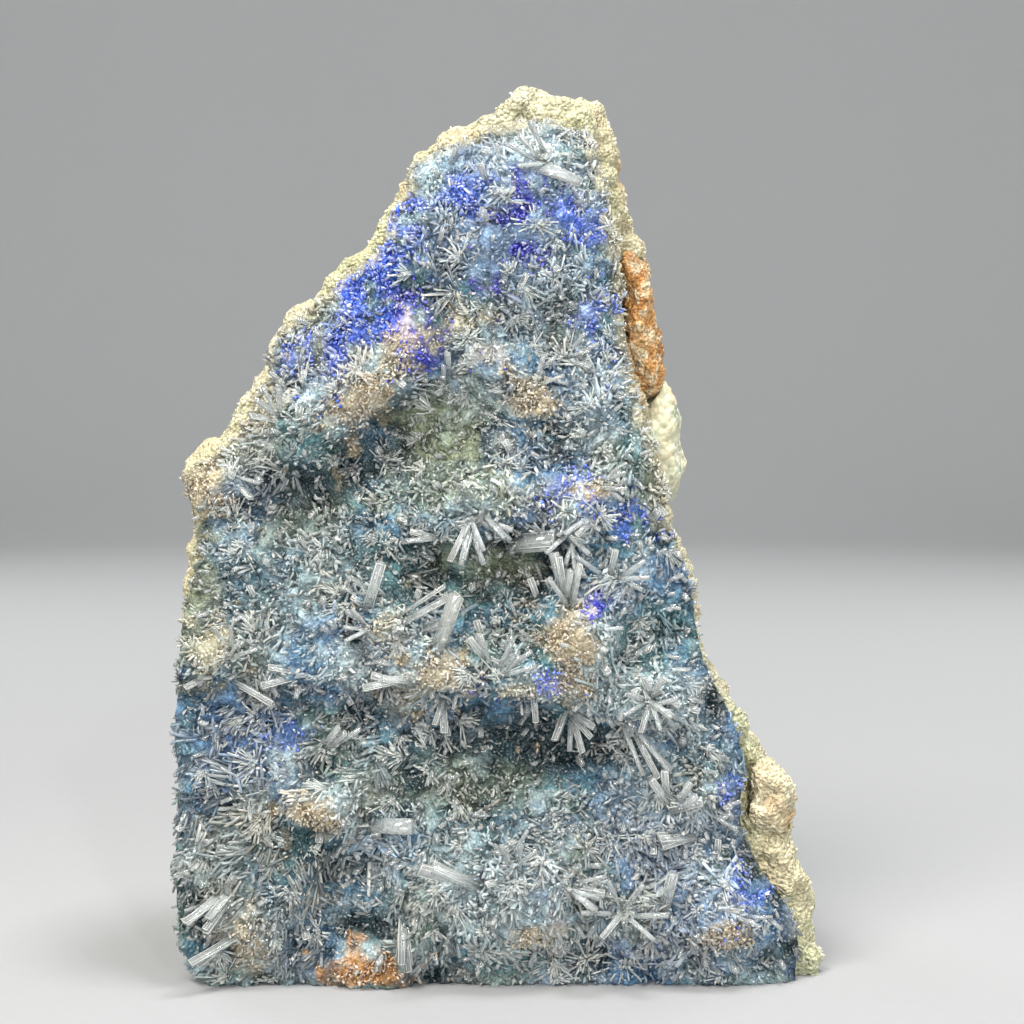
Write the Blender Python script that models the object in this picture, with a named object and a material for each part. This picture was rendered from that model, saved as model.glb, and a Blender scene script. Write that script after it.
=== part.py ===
"""Blue aragonite on its matrix: a hand-sized mineral plate that stands on its flat base.

Metres, +Z up. The crystal bed faces -Y, and the origin is the middle of the base.
Sizes are written in millimetres and turned into metres as each mesh is made.
A place on the plate is given as (x, z), as seen by someone who faces the crystals.
"""

import math
import random

import bmesh
import bpy
import numpy as np
from mathutils import Vector, noise
from mathutils.geometry import delaunay_2d_cdt

MM = 0.001  # one millimetre in Blender's metres
GAP = 0.3  # between solids that touch

# The plate
HEIGHT = 120.0
HALF_WIDTH = 42.0
BED_AT_BASE = 9.4  # how far the bedding plane stands forward of the origin, at the base
BED_AT_TOP = 3.4  # and at the top, so that the face leans back a little
BACK_AT_BASE = 19.0
BACK_AT_TOP = 9.5
BACK_BULGE = 2.0
BROKEN_EDGE_STEP = 3.2  # spacing of the points round the broken outline
EDGE_WANDER = 0.6  # how far those points stray
BACK_FACET = 6.5  # size of the facets of the broken back
CRAG_HEIGHT = 3.2  # the broken back and flanks
CRAG_SIZE = 13.0
PIT_DEPTH = 1.2  # their finer relief
BACK_PIT_SIZE = 8.0
FLANK_CRAG_HEIGHT = 2.2
FLANK_CRAG_SIZE = 9.0
FLANK_PIT_SIZE = 6.0
CALM_FOOT = 6.0  # the flanks are smooth below this height
FLANK_STAGES = (0.0, 0.14, 0.4, 0.7, 1.0)  # rings from the front rim to the back
FLANK_SMOOTHING = (0, 0, 2, 6, 10)  # how often the outline's small steps are evened out at each ring
BACK_TAPER = 0.10  # how much narrower the back is than the outline
TOP_DROP = 0.035  # how much lower the back's top is
TAPER_STARTS = 0.3  # share of the depth at which the back begins to narrow
RIGHT_SLOPE = 3.8  # how far the upper right flank slopes out behind the crystal bed
SLOPE_DEPTH = 0.4  # share of the depth that the slope takes
SLOPE_FOOT = 56.0  # height at which the slope begins
SLOPE_REACH = 10.0
MIDDLE_AT_BASE = -10.0  # x of the plate's middle line at the base
MIDDLE_LEAN = 12.0  # how far it leans to the right over the height
MIDDLE_WIDTH = 8.0  # how wide the change from left to right is

# The bare cream rim round the crystals
RIM_FACET = 2.4
RIM_INSET = 0.7  # how far the front rim lies inside the plate's widest outline
RIM_HEIGHT = 1.9  # its lumps stand this far forward of the bedding plane
RIM_MARGIN = 0.7  # its facets stay this far inside the broken edge
RIM_LUMP_SIZE = 4.0
RIM_ROUNDING = 1.6  # how far from the edge it has its full height
NEAREST_TO_EDGE = 0.35
RIM_CENTRE = (-8.0, 30.0)  # the bed's border is widened away from this point

# The crystal bed
BED_FACET = 2.7
BED_EDGE_WANDER = 0.5
BED_THICKNESS = 5.6
THINNEST_BED = 1.6
BED_EDGE_SHARE = 0.42  # thickness at the bed's border, as a share of the rest
BED_EDGE_WIDTH = 5.0
BED_ROUGHNESS = 1.1  # of the crystals that end there, from one facet to the next
ROUGHNESS_SCALE = 1.3  # changes of that roughness per millimetre
BURST_HEIGHT = 1.8  # the small bursts of needles that the bed is made of
BURST_SIZE = 6.0
BROKEN_THROUGH = 4.0  # the left side was broken through thick crystals, not grown thin there
BROKEN_LEFT_OF = -41.0  # where that break runs
BROKEN_BELOW = 50.0
GROWN_BELOW_BASE = -20.0  # the bed had grown on down to here before it was cut
FACET_JITTER = 0.34  # as a share of the facet size
SWELL_STEEPNESS = 1.5
SWELL_FALL = 0.9  # how fast a swelling falls off at its half width
MEAN_LUMP = 0.45  # the mean height of lumps(), which is taken off so that a relief goes both ways

# The broken outline of the plate, clockwise from the foot of the left side
OUTLINE = (
    (-38.5, 0.0), (-41.7, 1.8), (-42.7, 5.5), (-43.0, 13.0), (-42.8, 24.0), (-43.0, 38.0), (-43.2, 52.0),
    (-42.5, 56.5), (-42.2, 59.0), (-42.6, 62.5), (-42.3, 65.0), (-43.5, 67.0), (-43.3, 68.8), (-41.2, 70.0),
    (-38.6, 72.0), (-37.0, 75.0), (-35.8, 77.8), (-32.2, 81.3), (-32.4, 83.5), (-31.3, 85.5), (-28.4, 89.8),
    (-25.5, 91.0), (-24.5, 93.6), (-21.4, 96.2), (-17.5, 98.8), (-17.1, 101.6), (-14.0, 104.4),
    (-13.1, 109.4),
    (-11.4, 111.1), (-6.0, 113.3), (-4.3, 115.2), (-1.3, 116.2), (1.4, 118.9), (4.6, 119.8), (8.0, 119.3),
    (9.8, 117.9), (12.6, 118.3), (14.9, 117.2), (16.0, 114.5), (17.0, 107.0), (17.3, 101.5), (18.1, 98.6),
    (19.9, 96.0), (20.9, 93.2), (21.0, 86.0), (21.9, 80.5), (22.4, 76.0), (22.6, 69.0), (22.9, 63.6),
    (23.3, 58.5), (25.5, 54.0), (26.7, 46.6), (28.6, 40.2), (32.0, 35.2), (34.2, 30.0), (37.0, 28.1),
    (38.8, 25.2), (39.8, 21.8), (39.6, 17.6), (41.2, 12.4), (41.9, 6.0), (43.3, 2.4), (42.6, 0.0),
)

# The border of the crystal bed, which leaves the rim of the matrix bare
BED_OUTLINE = (
    (-39.5, 0.0), (-42.6, 4.4), (-43.3, 12.0), (-43.2, 24.0), (-43.4, 37.0), (-42.6, 47.0), (-40.9, 56.0),
    (-41.2, 62.5),
    (-42.7, 67.5), (-40.0, 69.2), (-36.4, 71.4), (-33.4, 75.4), (-31.2, 79.8), (-31.2, 84.4), (-27.0, 88.4),
    (-23.2, 91.3), (-19.6, 94.8), (-15.7, 98.0), (-15.2, 101.4), (-12.8, 104.4), (-12.2, 108.8),
    (-8.0, 110.9),
    (-4.0, 111.8), (0.0, 114.0), (6.0, 114.2), (11.2, 113.0), (13.1, 107.0), (14.4, 101.0), (15.4, 95.0),
    (15.9, 88.0), (16.3, 81.0), (18.2, 76.0), (20.1, 71.0), (21.5, 66.0), (22.3, 60.5), (24.6, 53.5),
    (25.7, 46.5), (27.6, 40.2), (30.4, 35.0), (31.8, 30.0), (31.6, 25.0), (31.6, 20.0), (34.4, 14.5),
    (37.8, 10.0), (39.4, 5.0), (39.0, 0.0),
)

# Swellings and hollows of the crystal bed: x, z, half width, half height, rise, turn in degrees, undercut.
# An undercut of 0.4 makes the lower side 0.4 times as long as the upper one, which gives a ledge.
SWELLS = {
    "left shoulder": (-34.0, 72.0, 9.0, 7.0, 3.6, 30.0, 0.45),
    "shoulder tongue": (-23.5, 74.5, 5.0, 8.5, 3.6, -40.0, 0.4),
    "tan crest": (-16.0, 80.5, 4.2, 9.0, 4.6, -38.0, 0.45),
    "upper left hummock": (-20.0, 90.0, 10.0, 8.0, 3.4, 35.0, 0.6),
    "azure spur": (-13.5, 99.0, 4.0, 7.0, 2.4, 0.0, 0.7),
    "upper hummock": (1.5, 99.0, 12.0, 12.0, 3.6, 0.0, 0.7),
    "crown": (5.0, 109.5, 7.0, 4.5, 1.8, 0.0, 0.6),
    "cream knot": (-2.0, 83.8, 3.4, 2.2, 2.4, -10.0, 0.5),
    "tan knot": (4.6, 77.6, 2.6, 4.0, 2.6, 30.0, 0.5),
    "right flank": (15.5, 84.0, 5.0, 14.0, 2.0, 0.0, 0.9),
    "small tan knot": (12.0, 66.0, 2.6, 2.4, 2.8, 0.0, 0.5),
    "white fan": (-4.0, 64.0, 4.4, 6.5, 3.6, 8.0, 0.35),
    "middle ledge": (9.0, 61.0, 11.0, 4.6, 3.2, -14.0, 0.4),
    "star knot": (14.3, 54.0, 4.2, 3.2, 2.8, 0.0, 0.5),
    "edge knot": (23.6, 53.0, 2.6, 3.4, 1.6, 0.0, 0.6),
    "central knob": (9.6, 46.4, 5.2, 6.2, 6.6, -12.0, 0.55),
    "central ledge": (1.5, 39.8, 13.5, 4.2, 5.2, -3.0, 0.35),
    "tan shelf": (-8.0, 42.0, 5.4, 4.8, 3.2, 0.0, 0.4),
    "prism bank": (-15.5, 48.0, 6.0, 4.0, 3.4, -20.0, 0.4),
    "pale bank": (19.5, 38.0, 6.0, 5.0, 3.6, 10.0, 0.5),
    "left knot": (-38.0, 43.5, 4.6, 4.2, 3.2, 0.0, 0.5),
    "left ledge": (-25.5, 42.0, 8.5, 4.0, 2.6, -4.0, 0.45),
    "small pale knot": (-29.0, 30.5, 2.8, 3.0, 2.6, 0.0, 0.5),
    "left tan knot": (-24.8, 23.2, 5.4, 4.2, 3.8, -14.0, 0.5),
    "lower left bank": (-33.0, 12.0, 9.0, 9.0, 2.8, 20.0, 0.8),
    "bottom mound": (0.5, 13.0, 14.0, 8.0, 4.8, 8.0, 0.9),
    "lower right star": (16.0, 11.0, 3.6, 5.0, 3.0, 0.0, 0.6),
    "lower right bank": (27.0, 9.5, 7.5, 6.5, 3.4, 0.0, 0.7),
    "right lower bank": (25.0, 25.0, 6.0, 5.0, 1.8, 0.0, 0.8),
    "orange knobs": (-18.0, 2.6, 4.6, 3.0, 3.0, 0.0, 0.8),
    "shoulder shadow": (-29.0, 64.0, 9.0, 4.5, -2.8, 12.0, 1.0),
    "tan crest shadow": (-17.0, 71.5, 6.0, 3.6, -3.0, 24.0, 1.0),
    "olive hollow": (-8.0, 73.0, 8.0, 9.0, -2.2, 0.0, 1.0),
    "middle hollow": (-4.0, 54.0, 12.0, 3.6, -2.6, -4.0, 1.0),
    "dark hollow": (5.0, 32.0, 14.0, 4.6, -3.8, -6.0, 1.0),
    "left hollow": (-35.0, 36.0, 7.0, 4.0, -2.0, 0.0, 1.0),
    "lower left hollow": (-20.0, 12.5, 6.0, 5.0, -2.2, 40.0, 1.0),
    "lower right hollow": (11.0, 12.0, 2.4, 4.0, -2.6, 0.0, 1.0),
}

# Prisms large enough to stand out, in groups that grow from one root: x, z, direction in the face, rise
# out of the face, fan (all three in degrees, the direction from +x), count, length, width.
SPRAYS = {
    "crown star": (5.5, 108.5, 150, 35, 50, 3, 4.4, 1.15),
    "crown lath": (2.6, 107.8, -22, 22, 6, 1, 7, 1.5),
    "upper cross": (1.2, 88.5, 58, 25, 30, 3, 4.4, 1.15),
    "upper pair": (-7.4, 79.5, 92, 40, 8, 2, 4, 1.3),
    "right comb": (8, 83, 20, 35, 40, 3, 4.4, 1.15),
    "tan comb": (4.5, 80, 30, 40, 60, 3, 4, 1.15),
    "shoulder needles": (-29.5, 75, 130, 35, 50, 3, 4.4, 1.15),
    "shoulder lath": (-36, 67, -30, 35, 25, 2, 4.4, 1.15),
    "small star": (12.5, 66.5, 10, 45, 60, 3, 4.4, 1.15),
    "white fan": (-4, 62, -90, 30, 34, 3, 5.6, 1.3),
    "white fan side": (-2.6, 62.5, -35, 35, 16, 3, 4.4, 1.15),
    "broad slab": (0.4, 58.8, 12, 28, 4, 1, 6, 2.2),
    "fan wing": (-8, 59.6, 176, 28, 16, 2, 5.5, 1.3),
    "middle star": (8.8, 59.5, -90, 40, 60, 3, 4.4, 1.15),
    "long lath": (12.5, 62.5, -150, 30, 10, 2, 5.5, 1.3),
    "star": (14.4, 54.2, 60, 38, 100, 3, 4.4, 1.15),
    "crown of the knob": (8.6, 51, 98, 24, 26, 3, 5.6, 1.3),
    "tall prism": (-18.4, 50, 76, 25, 4, 1, 7.6, 1.7),
    "bright lath": (-13.8, 48.8, 34, 22, 5, 2, 4.4, 1.25),
    "bank roots": (-17.5, 47.8, 160, 35, 50, 3, 3.6, 1.15),
    "great prism": (-8.6, 45.2, 68, 24, 4, 1, 9, 2.1),
    "side lath": (-11, 46.6, 20, 24, 10, 2, 5.6, 1.38),
    "leaning pair": (-2, 42.5, 112, 30, 14, 2, 4.4, 1.25),
    "short slab": (1.2, 46.2, -12, 24, 10, 1, 4.4, 1.4),
    "ledge comb": (-0.5, 41.5, 45, 34, 26, 3, 4.4, 1.15),
    "shelf box": (-12.4, 40.6, 172, 22, 18, 3, 4.4, 1.5),
    "shelf drop": (-8, 37.8, -88, 34, 26, 2, 4.2, 1.25),
    "ledge drop": (9, 36.2, -70, 36, 50, 3, 4.6, 1.3),
    "pale burst": (19, 38, 0, 42, 180, 3, 4.4, 1.15),
    "long drop": (16.2, 35, -58, 28, 20, 3, 5.6, 1.3),
    "left lath": (-35.6, 41.2, -28, 26, 12, 2, 4.4, 1.25),
    "left needles": (-36, 44, 70, 34, 60, 3, 4.4, 1.15),
    "left ledge box": (-27.5, 41.8, 182, 28, 24, 2, 4, 1.38),
    "left slope laths": (-24, 31.5, 42, 28, 22, 3, 5.6, 1.3),
    "framed prism": (-17.8, 21.6, 4, 24, 6, 1, 6.4, 2),
    "right scatter": (22, 24, 70, 32, 60, 4, 4.4, 1.5),
    "right slab": (25.4, 20.6, 186, 26, 20, 2, 4.4, 1.6),
    "right lath": (20.6, 10.4, 78, 26, 6, 1, 6.6, 1.7),
    "lower star": (15.8, 10.6, 90, 34, 150, 3, 4.4, 1.15),
    "lower comb": (17, 4.6, 96, 24, 14, 3, 4.4, 1.15),
    "mound laths": (-2.6, 14, 150, 24, 8, 2, 8.6, 2),
    "mound spikes": (1.5, 17.4, 100, 38, 60, 3, 4.4, 1.15),
    "mound right": (8.5, 14, -10, 36, 40, 3, 4.4, 1.15),
    "yellow tipped": (-13.6, 9.2, -88, 22, 6, 3, 6, 1.5),
    "corner laths": (-36, 13, 222, 36, 20, 4, 6.4, 1.38),
    "corner slab": (-35.5, 7, 205, 28, 10, 2, 5.6, 1.5),
}
PRISM_SIDES = 6
PRISM_ROOT = 2.0  # how deep a prism's foot lies under the surface of the bed
SHALLOWEST_ROOT = 0.4  # as a share of that depth: a prism that finds less room is left out
PRISM_TAPER = 0.9
PRISM_FLATNESS = 0.8
END_TILT = 0.25  # of a prism's end, as a share of its width
PRISM_SCATTER = 0.7  # how far a group's roots lie from its middle
TURN_SCATTER = 6.0  # degrees
RISE_SCATTER = 9.0
LEAST_RISE = 12.0
MOST_RISE = 70.0

# Masses of another mineral on the right flank: centre x, y, z, then half sizes, turn in degrees, the size
# of their lumps and the height of those.
SEAM = (18.6, -0.2, 87.6, 2.4, 5.2, 10.0, 7.0, 3.6, 0.9)
LOBES = {
    "calcite_lobe_upper": (21.4, 2.8, 71.6, 3.3, 6.0, 8.6, 3.0, 4.6, 1.2),
    "calcite_lobe_lower": (36.0, -7.0, 24.2, 3.3, 4.4, 4.2, 12.0, 4.4, 1.1),
}

MASS_BLOCKINESS = 0.8  # 1 is a plain ellipsoid, and less is squarer
SOCKET_GAP = 1.4 * GAP

# Seeds of the noise
EDGE_SEED = 8.0
BED_EDGE_SEED = 2.0
BACK_SEED = 3.1
BACK_PIT_SEED = 7.7
FLANK_SEED = 9.0
FLANK_PIT_SEED = 13.0
RIM_SEED = 21.0
BURST_SEED = 1.3

MATERIALS = {
    "cream_matrix": ((0.72, 0.68, 0.50), 0.85),
    "blue_aragonite": ((0.30, 0.44, 0.54), 0.35),
    "limonite": ((0.62, 0.36, 0.13), 0.95),
    "pale_calcite": ((0.70, 0.69, 0.54), 0.5),
}


def smooth(value):
    """A soft step from 0 to 1 as value goes from 0 to 1."""
    t = min(1.0, max(0.0, value))
    return t * t * (3 - 2 * t)


def bump(x, y, z, size, seed=0.0):
    """Smooth noise from about -1 to 1, whose features are about size millimetres across."""
    return noise.noise(Vector((x / size + seed, y / size - seed, z / size + 2 * seed)))


def lumps(x, y, z, size, seed=0.0):
    """Rounded lumps about size millimetres apart: 1 on the middle of a lump, near 0 between them."""
    nearest = noise.voronoi(Vector((x / size + seed, y / size - seed, z / size + 2 * seed)))[0][0]
    return max(0.0, 1 - nearest)


def bedding_plane(z):
    """y of the flat plane that the crystal bed grew on, at height z."""
    return -(BED_AT_BASE + (BED_AT_TOP - BED_AT_BASE) * z / HEIGHT)


def back_face(x, z):
    """y of the broken back of the matrix."""
    share = z / HEIGHT
    plain = BACK_AT_BASE + (BACK_AT_TOP - BACK_AT_BASE) * share
    across = x / HALF_WIDTH
    crags = CRAG_HEIGHT * (lumps(x, 0, z, CRAG_SIZE, BACK_SEED) - 0.5)
    crags += PIT_DEPTH * bump(x, 0, z, BACK_PIT_SIZE, BACK_PIT_SEED)
    return plain + BACK_BULGE * (1 - across * across) + crags


def spaced_points(corners, step, wander, seed):
    """Points about step apart along a closed outline, which wander a little except on the base."""
    points = []
    for (x0, z0), (x1, z1) in zip(corners, corners[1:] + corners[:1]):
        pieces = max(1, round(math.hypot(x1 - x0, z1 - z0) / step))
        level = z0 == z1
        for i in range(pieces):
            x, z = x0 + (x1 - x0) * i / pieces, z0 + (z1 - z0) * i / pieces
            if not level and i:
                x += wander * bump(x, 1, z, 4.0, seed)
                z += wander * bump(x, 2, z, 4.0, seed + 5)
            points.append((x, z))
    return points


def inside(x, z, ring):
    """Whether (x, z) lies inside a closed ring of points."""
    found = False
    for (x0, z0), (x1, z1) in zip(ring, ring[1:] + ring[:1]):
        if (z0 > z) != (z1 > z) and x < x0 + (z - z0) * (x1 - x0) / (z1 - z0):
            found = not found
    return found


def edge_distance(x, z, ring):
    """Distance in the face from (x, z) to the nearest edge of a ring."""
    a = np.array(ring)
    along = np.roll(a, -1, axis=0) - a
    to = np.array((x, z)) - a
    share = np.clip((to * along).sum(1) / (along * along).sum(1), 0, 1)
    return float(np.sqrt(((to - along * share[:, None]) ** 2).sum(1)).min())


def lattice(ring, spacing, margin):
    """Points of a jittered triangular lattice that lie inside a ring and clear of its edge."""
    xs, zs = zip(*ring)
    draw = random.Random(spacing)
    points = []
    row = 0
    z = min(zs) + margin
    while z < max(zs):
        x = min(xs) + (spacing / 2 if row % 2 else 0.0)
        while x < max(xs):
            px = x + spacing * draw.uniform(-FACET_JITTER, FACET_JITTER)
            pz = z + spacing * draw.uniform(-FACET_JITTER, FACET_JITTER)
            if inside(px, pz, ring) and edge_distance(px, pz, ring) > margin:
                points.append((px, pz))
            x += spacing
        z += spacing * math.sqrt(3) / 2
        row += 1
    return points


def filled(ring, extra):
    """Triangles over a ring and the extra points in it, as indices that count the ring first."""
    points = [Vector(p) for p in ring + extra]
    border = [list(range(len(ring)))]
    found, _, faces, origins, _, _ = delaunay_2d_cdt(points, [], border, 1, 1e-6)
    index = [source[0] for source in origins]
    assert len(found) == len(points)
    return [[index[i] for i in face] for face in faces]


def new_object(name, mesh, material):
    """A named object at the origin that carries one of the four finishes."""
    colour, roughness = MATERIALS[material]
    finish = bpy.data.materials.get(material)
    if finish is None:
        finish = bpy.data.materials.new(material)
        finish.use_nodes = True
        shader = finish.node_tree.nodes["Principled BSDF"]
        shader.inputs["Base Color"].default_value = (*colour, 1.0)
        shader.inputs["Roughness"].default_value = roughness
    mesh.materials.append(finish)
    obj = bpy.data.objects.new(name, mesh)
    bpy.context.collection.objects.link(obj)
    return obj


def mesh_of(name, points, faces):
    """A mesh from points in millimetres, with its faces turned outwards."""
    mesh = bpy.data.meshes.new(name)
    mesh.from_pydata([Vector(p) * MM for p in points], [], faces)
    shaped = bmesh.new()
    shaped.from_mesh(mesh)
    bmesh.ops.recalc_face_normals(shaped, faces=shaped.faces)
    shaped.to_mesh(mesh)
    shaped.free()
    return mesh


def swell(x, z):
    """How far the swellings and hollows raise the crystal bed at (x, z)."""
    total = 0.0
    for cx, cz, wide, high, rise, turn, undercut in SWELLS.values():
        c, s = math.cos(math.radians(turn)), math.sin(math.radians(turn))
        u = ((x - cx) * c + (z - cz) * s) / wide
        v = (-(x - cx) * s + (z - cz) * c) / high
        if v < 0:
            v /= undercut
        total += rise * math.exp(-SWELL_FALL * (u * u + v * v) ** SWELL_STEEPNESS)
    return total


def bed_border():
    """The ring round the crystal bed."""
    return spaced_points(BED_OUTLINE, BED_FACET, BED_EDGE_WANDER, BED_EDGE_SEED)


def grown_border(ring):
    """The border that the bed had grown to, before its base and lower left were broken off."""
    border = []
    for x, z in ring:
        if x < BROKEN_LEFT_OF and z < BROKEN_BELOW:
            x -= BROKEN_THROUGH
        border.append((x, z if z > 0 else GROWN_BELOW_BASE))
    return border


def bed_surface(x, z, border):
    """y of the tips of the crystals that cover the bed."""
    edge = BED_EDGE_SHARE + (1 - BED_EDGE_SHARE) * smooth(edge_distance(x, z, border) / BED_EDGE_WIDTH)
    rough = BED_ROUGHNESS * noise.cell(Vector((x, 0.5, z)) * ROUGHNESS_SCALE) - BED_ROUGHNESS / 2
    rough += BURST_HEIGHT * (lumps(x, 0, z, BURST_SIZE, BURST_SEED) - MEAN_LUMP)
    thick = max(THINNEST_BED, (BED_THICKNESS + swell(x, z) + rough) * edge)
    return bedding_plane(z) - thick


def prisms(name, spray):
    """The root, direction, length and width of each prism of a group, in the face's terms."""
    x, z, toward, rise, fan, count, length, width = spray
    draw = random.Random(name)
    for i in range(count):
        spread = (i + 0.5) / count - 0.5 if count > 1 else 0.0
        turn = math.radians(toward + 2 * fan * spread + draw.uniform(-TURN_SCATTER, TURN_SCATTER))
        raised = rise + draw.uniform(-RISE_SCATTER, RISE_SCATTER)
        lift = math.radians(min(MOST_RISE, max(LEAST_RISE, raised)))
        foot_x = x + draw.uniform(-PRISM_SCATTER, PRISM_SCATTER)
        foot_z = z + draw.uniform(-PRISM_SCATTER, PRISM_SCATTER)
        way = Vector((math.cos(lift) * math.cos(turn), -math.sin(lift), math.cos(lift) * math.sin(turn)))
        long, thick = length * draw.uniform(0.75, 1.1), width * draw.uniform(0.8, 1.15)
        yield (foot_x, foot_z), way, long, thick, draw.uniform(0, 60)


def prism_mesh(foot, way, length, width, roll):
    """Points and faces of one pseudo-hexagonal prism with a flat, slightly tilted end."""
    side = way.orthogonal().normalized()
    across = way.cross(side)
    points = []
    for reach, share in ((0.0, 1.0), (length, PRISM_TAPER)):
        for i in range(PRISM_SIDES):
            turn = math.radians(roll + 360.0 * i / PRISM_SIDES)
            tilt = END_TILT * width * math.cos(turn) if reach else 0.0
            out = side * math.cos(turn) + across * math.sin(turn) * PRISM_FLATNESS
            points.append(foot + way * (reach + tilt) + out * width * share / 2)
    ring = range(PRISM_SIDES)
    walls = [(i, (i + 1) % PRISM_SIDES, PRISM_SIDES + (i + 1) % PRISM_SIDES, PRISM_SIDES + i) for i in ring]
    return points, [tuple(reversed(ring)), *walls, tuple(PRISM_SIDES + i for i in ring)]


def all_prisms(border):
    """One helper object that holds every large prism, each rooted under the surface of the bed."""
    points, faces = [], []
    for name, spray in SPRAYS.items():
        for (x, z), way, length, width, roll in prisms(name, spray):
            surface = bed_surface(x, z, border)
            room = bedding_plane(z) - GAP - width / 2 - surface
            if room < SHALLOWEST_ROOT * PRISM_ROOT:
                continue  # the bed is too thin to hold a crystal here
            root = min(PRISM_ROOT, room)
            foot = Vector((x, surface + root, z))
            new_points, new_faces = prism_mesh(foot, way, length + root, width, roll)
            faces += [tuple(i + len(points) for i in face) for face in new_faces]
            points += new_points
    helper = new_object("prism_cutter", mesh_of("prism_cutter", points, faces), "blue_aragonite")
    helper.hide_render = True
    helper.display_type = "WIRE"
    return helper


def combine(target, tool, operation):
    """Applies a Boolean of the helper to the target."""
    modifier = target.modifiers.new(operation.title(), "BOOLEAN")
    modifier.operation = operation
    modifier.object = tool
    modifier.solver = "EXACT"
    modifier.use_self = operation == "UNION"


def aragonite_crust():
    """The bed of aragonite: flat behind, swelling and hollow in front, with its large prisms fused to it."""
    ring = bed_border()
    within = lattice(ring, BED_FACET, 0.55 * BED_FACET)
    border = grown_border(ring)
    count = len(ring)
    front = [(x, bed_surface(x, z, border), z) for x, z in ring + within]
    back = [(x, bedding_plane(z) - GAP, z) for x, z in ring]
    first_back = len(front)
    faces = filled(ring, within)
    faces += [[first_back + i for i in face] for face in filled(ring, [])]
    for i in range(count):
        j = (i + 1) % count
        faces.append((i, j, first_back + j, first_back + i))
    crust = new_object("aragonite_crust", mesh_of("aragonite_crust", front + back, faces), "blue_aragonite")
    combine(crust, all_prisms(border), "UNION")
    return crust


def evened(ring, times):
    """The ring with its small steps averaged out. Its points on the base stay on the base."""
    for _ in range(times):
        before, after = ring[-1:] + ring[:-1], ring[1:] + ring[:1]
        ring = [
            ((xa + 2 * x + xb) / 4, (za + 2 * z + zb) / 4 if z > 0 else 0.0)
            for (xa, za), (x, z), (xb, zb) in zip(before, ring, after)
        ]
    return ring


def flank_ring(outline, share, times):
    """The outline carried towards the back: share is 0 at the front rim and 1 at the back."""
    ring = evened(outline, times)
    points = []
    for (xa, za), (x, z), (xb, zb) in zip(ring[-1:] + ring[:-1], ring, ring[1:] + ring[:1]):
        out = Vector((za - zb, xb - xa)).normalized() if z > 0 else Vector((0.0, 0.0))
        middle = MIDDLE_AT_BASE + MIDDLE_LEAN * z / HEIGHT
        right = smooth((x - middle) / MIDDLE_WIDTH) * smooth((z - SLOPE_FOOT) / SLOPE_REACH)
        forward = 1 - smooth(share / SLOPE_DEPTH)
        behind = smooth((share - TAPER_STARTS) / (1 - TAPER_STARTS))
        y = bedding_plane(z) + (back_face(x, z) - bedding_plane(z)) * share
        crag = 0.0
        if 0 < share < 1:
            lump = lumps(x, y, z, FLANK_CRAG_SIZE, FLANK_SEED) - MEAN_LUMP
            crag = smooth(z / CALM_FOOT) * FLANK_CRAG_HEIGHT * lump
            y += PIT_DEPTH * bump(x, y, z, FLANK_PIT_SIZE, FLANK_PIT_SEED)
        crag -= RIM_INSET * forward * smooth(z / 4.0)
        x += out.x * crag + (middle - x) * BACK_TAPER * behind - RIGHT_SLOPE * right * forward
        z = (z + out.y * crag) * (1 - TOP_DROP * behind * z / HEIGHT)
        points.append((x, y, z))
    return points


def rim_point(x, z, bed_ring, front_ring):
    """A point of the matrix's front: flat under the crystals, lumpy on the bare rim round them."""
    if inside(x, z, bed_ring):
        return x, bedding_plane(z), z
    room = min(edge_distance(x, z, bed_ring), 1.4 * edge_distance(x, z, front_ring))
    lump = 0.75 + 0.5 * bump(x, 0, z, RIM_LUMP_SIZE, RIM_SEED)
    return x, bedding_plane(z) - RIM_HEIGHT * lump * smooth(room / RIM_ROUNDING), z


def matrix_rock(sockets):
    """The cream host rock: a broken plate with a flat front under the crystals, and a flat base."""
    outline = spaced_points(OUTLINE, BROKEN_EDGE_STEP, EDGE_WANDER, EDGE_SEED)
    bed_ring = [grown(point, 2 * GAP) for point in bed_border()]
    rings = [flank_ring(outline, share, times) for share, times in zip(FLANK_STAGES, FLANK_SMOOTHING)]
    count = len(outline)
    front_ring = [(x, z) for x, _, z in rings[0]]
    back_ring = [(x, z) for x, _, z in rings[-1]]
    border = [point for point in bed_ring if inside(*point, front_ring)]
    rim = [
        point
        for point in lattice(front_ring, RIM_FACET, RIM_MARGIN)
        if not inside(*point, bed_ring) and edge_distance(*point, bed_ring) > 0.4 * RIM_FACET
    ]
    border = [point for point in border if edge_distance(*point, front_ring) > NEAREST_TO_EDGE]
    points = [point for ring in rings for point in ring]
    first_front = len(points)
    points += [rim_point(x, z, bed_ring, front_ring) for x, z in border + rim]
    front_index = list(range(count)) + list(range(first_front, len(points)))
    faces = [[front_index[i] for i in face] for face in filled(front_ring, border + rim)]
    first_back = len(points)
    crags = lattice(back_ring, BACK_FACET, 0.5 * BACK_FACET)
    points += [(x, back_face(x, z), z) for x, z in crags]
    last_ring = list(range((len(rings) - 1) * count, len(rings) * count))
    back_index = last_ring + list(range(first_back, len(points)))
    faces += [[back_index[i] for i in face] for face in filled(back_ring, crags)]
    for stage in range(len(rings) - 1):
        for i in range(count):
            j = (i + 1) % count
            a, b = stage * count, (stage + 1) * count
            faces += [(a + i, a + j, b + j), (a + i, b + j, b + i)]
    rock = new_object("matrix", mesh_of("matrix", points, faces), "cream_matrix")
    for socket in sockets:
        combine(rock, socket, "DIFFERENCE")
    return rock


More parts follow.
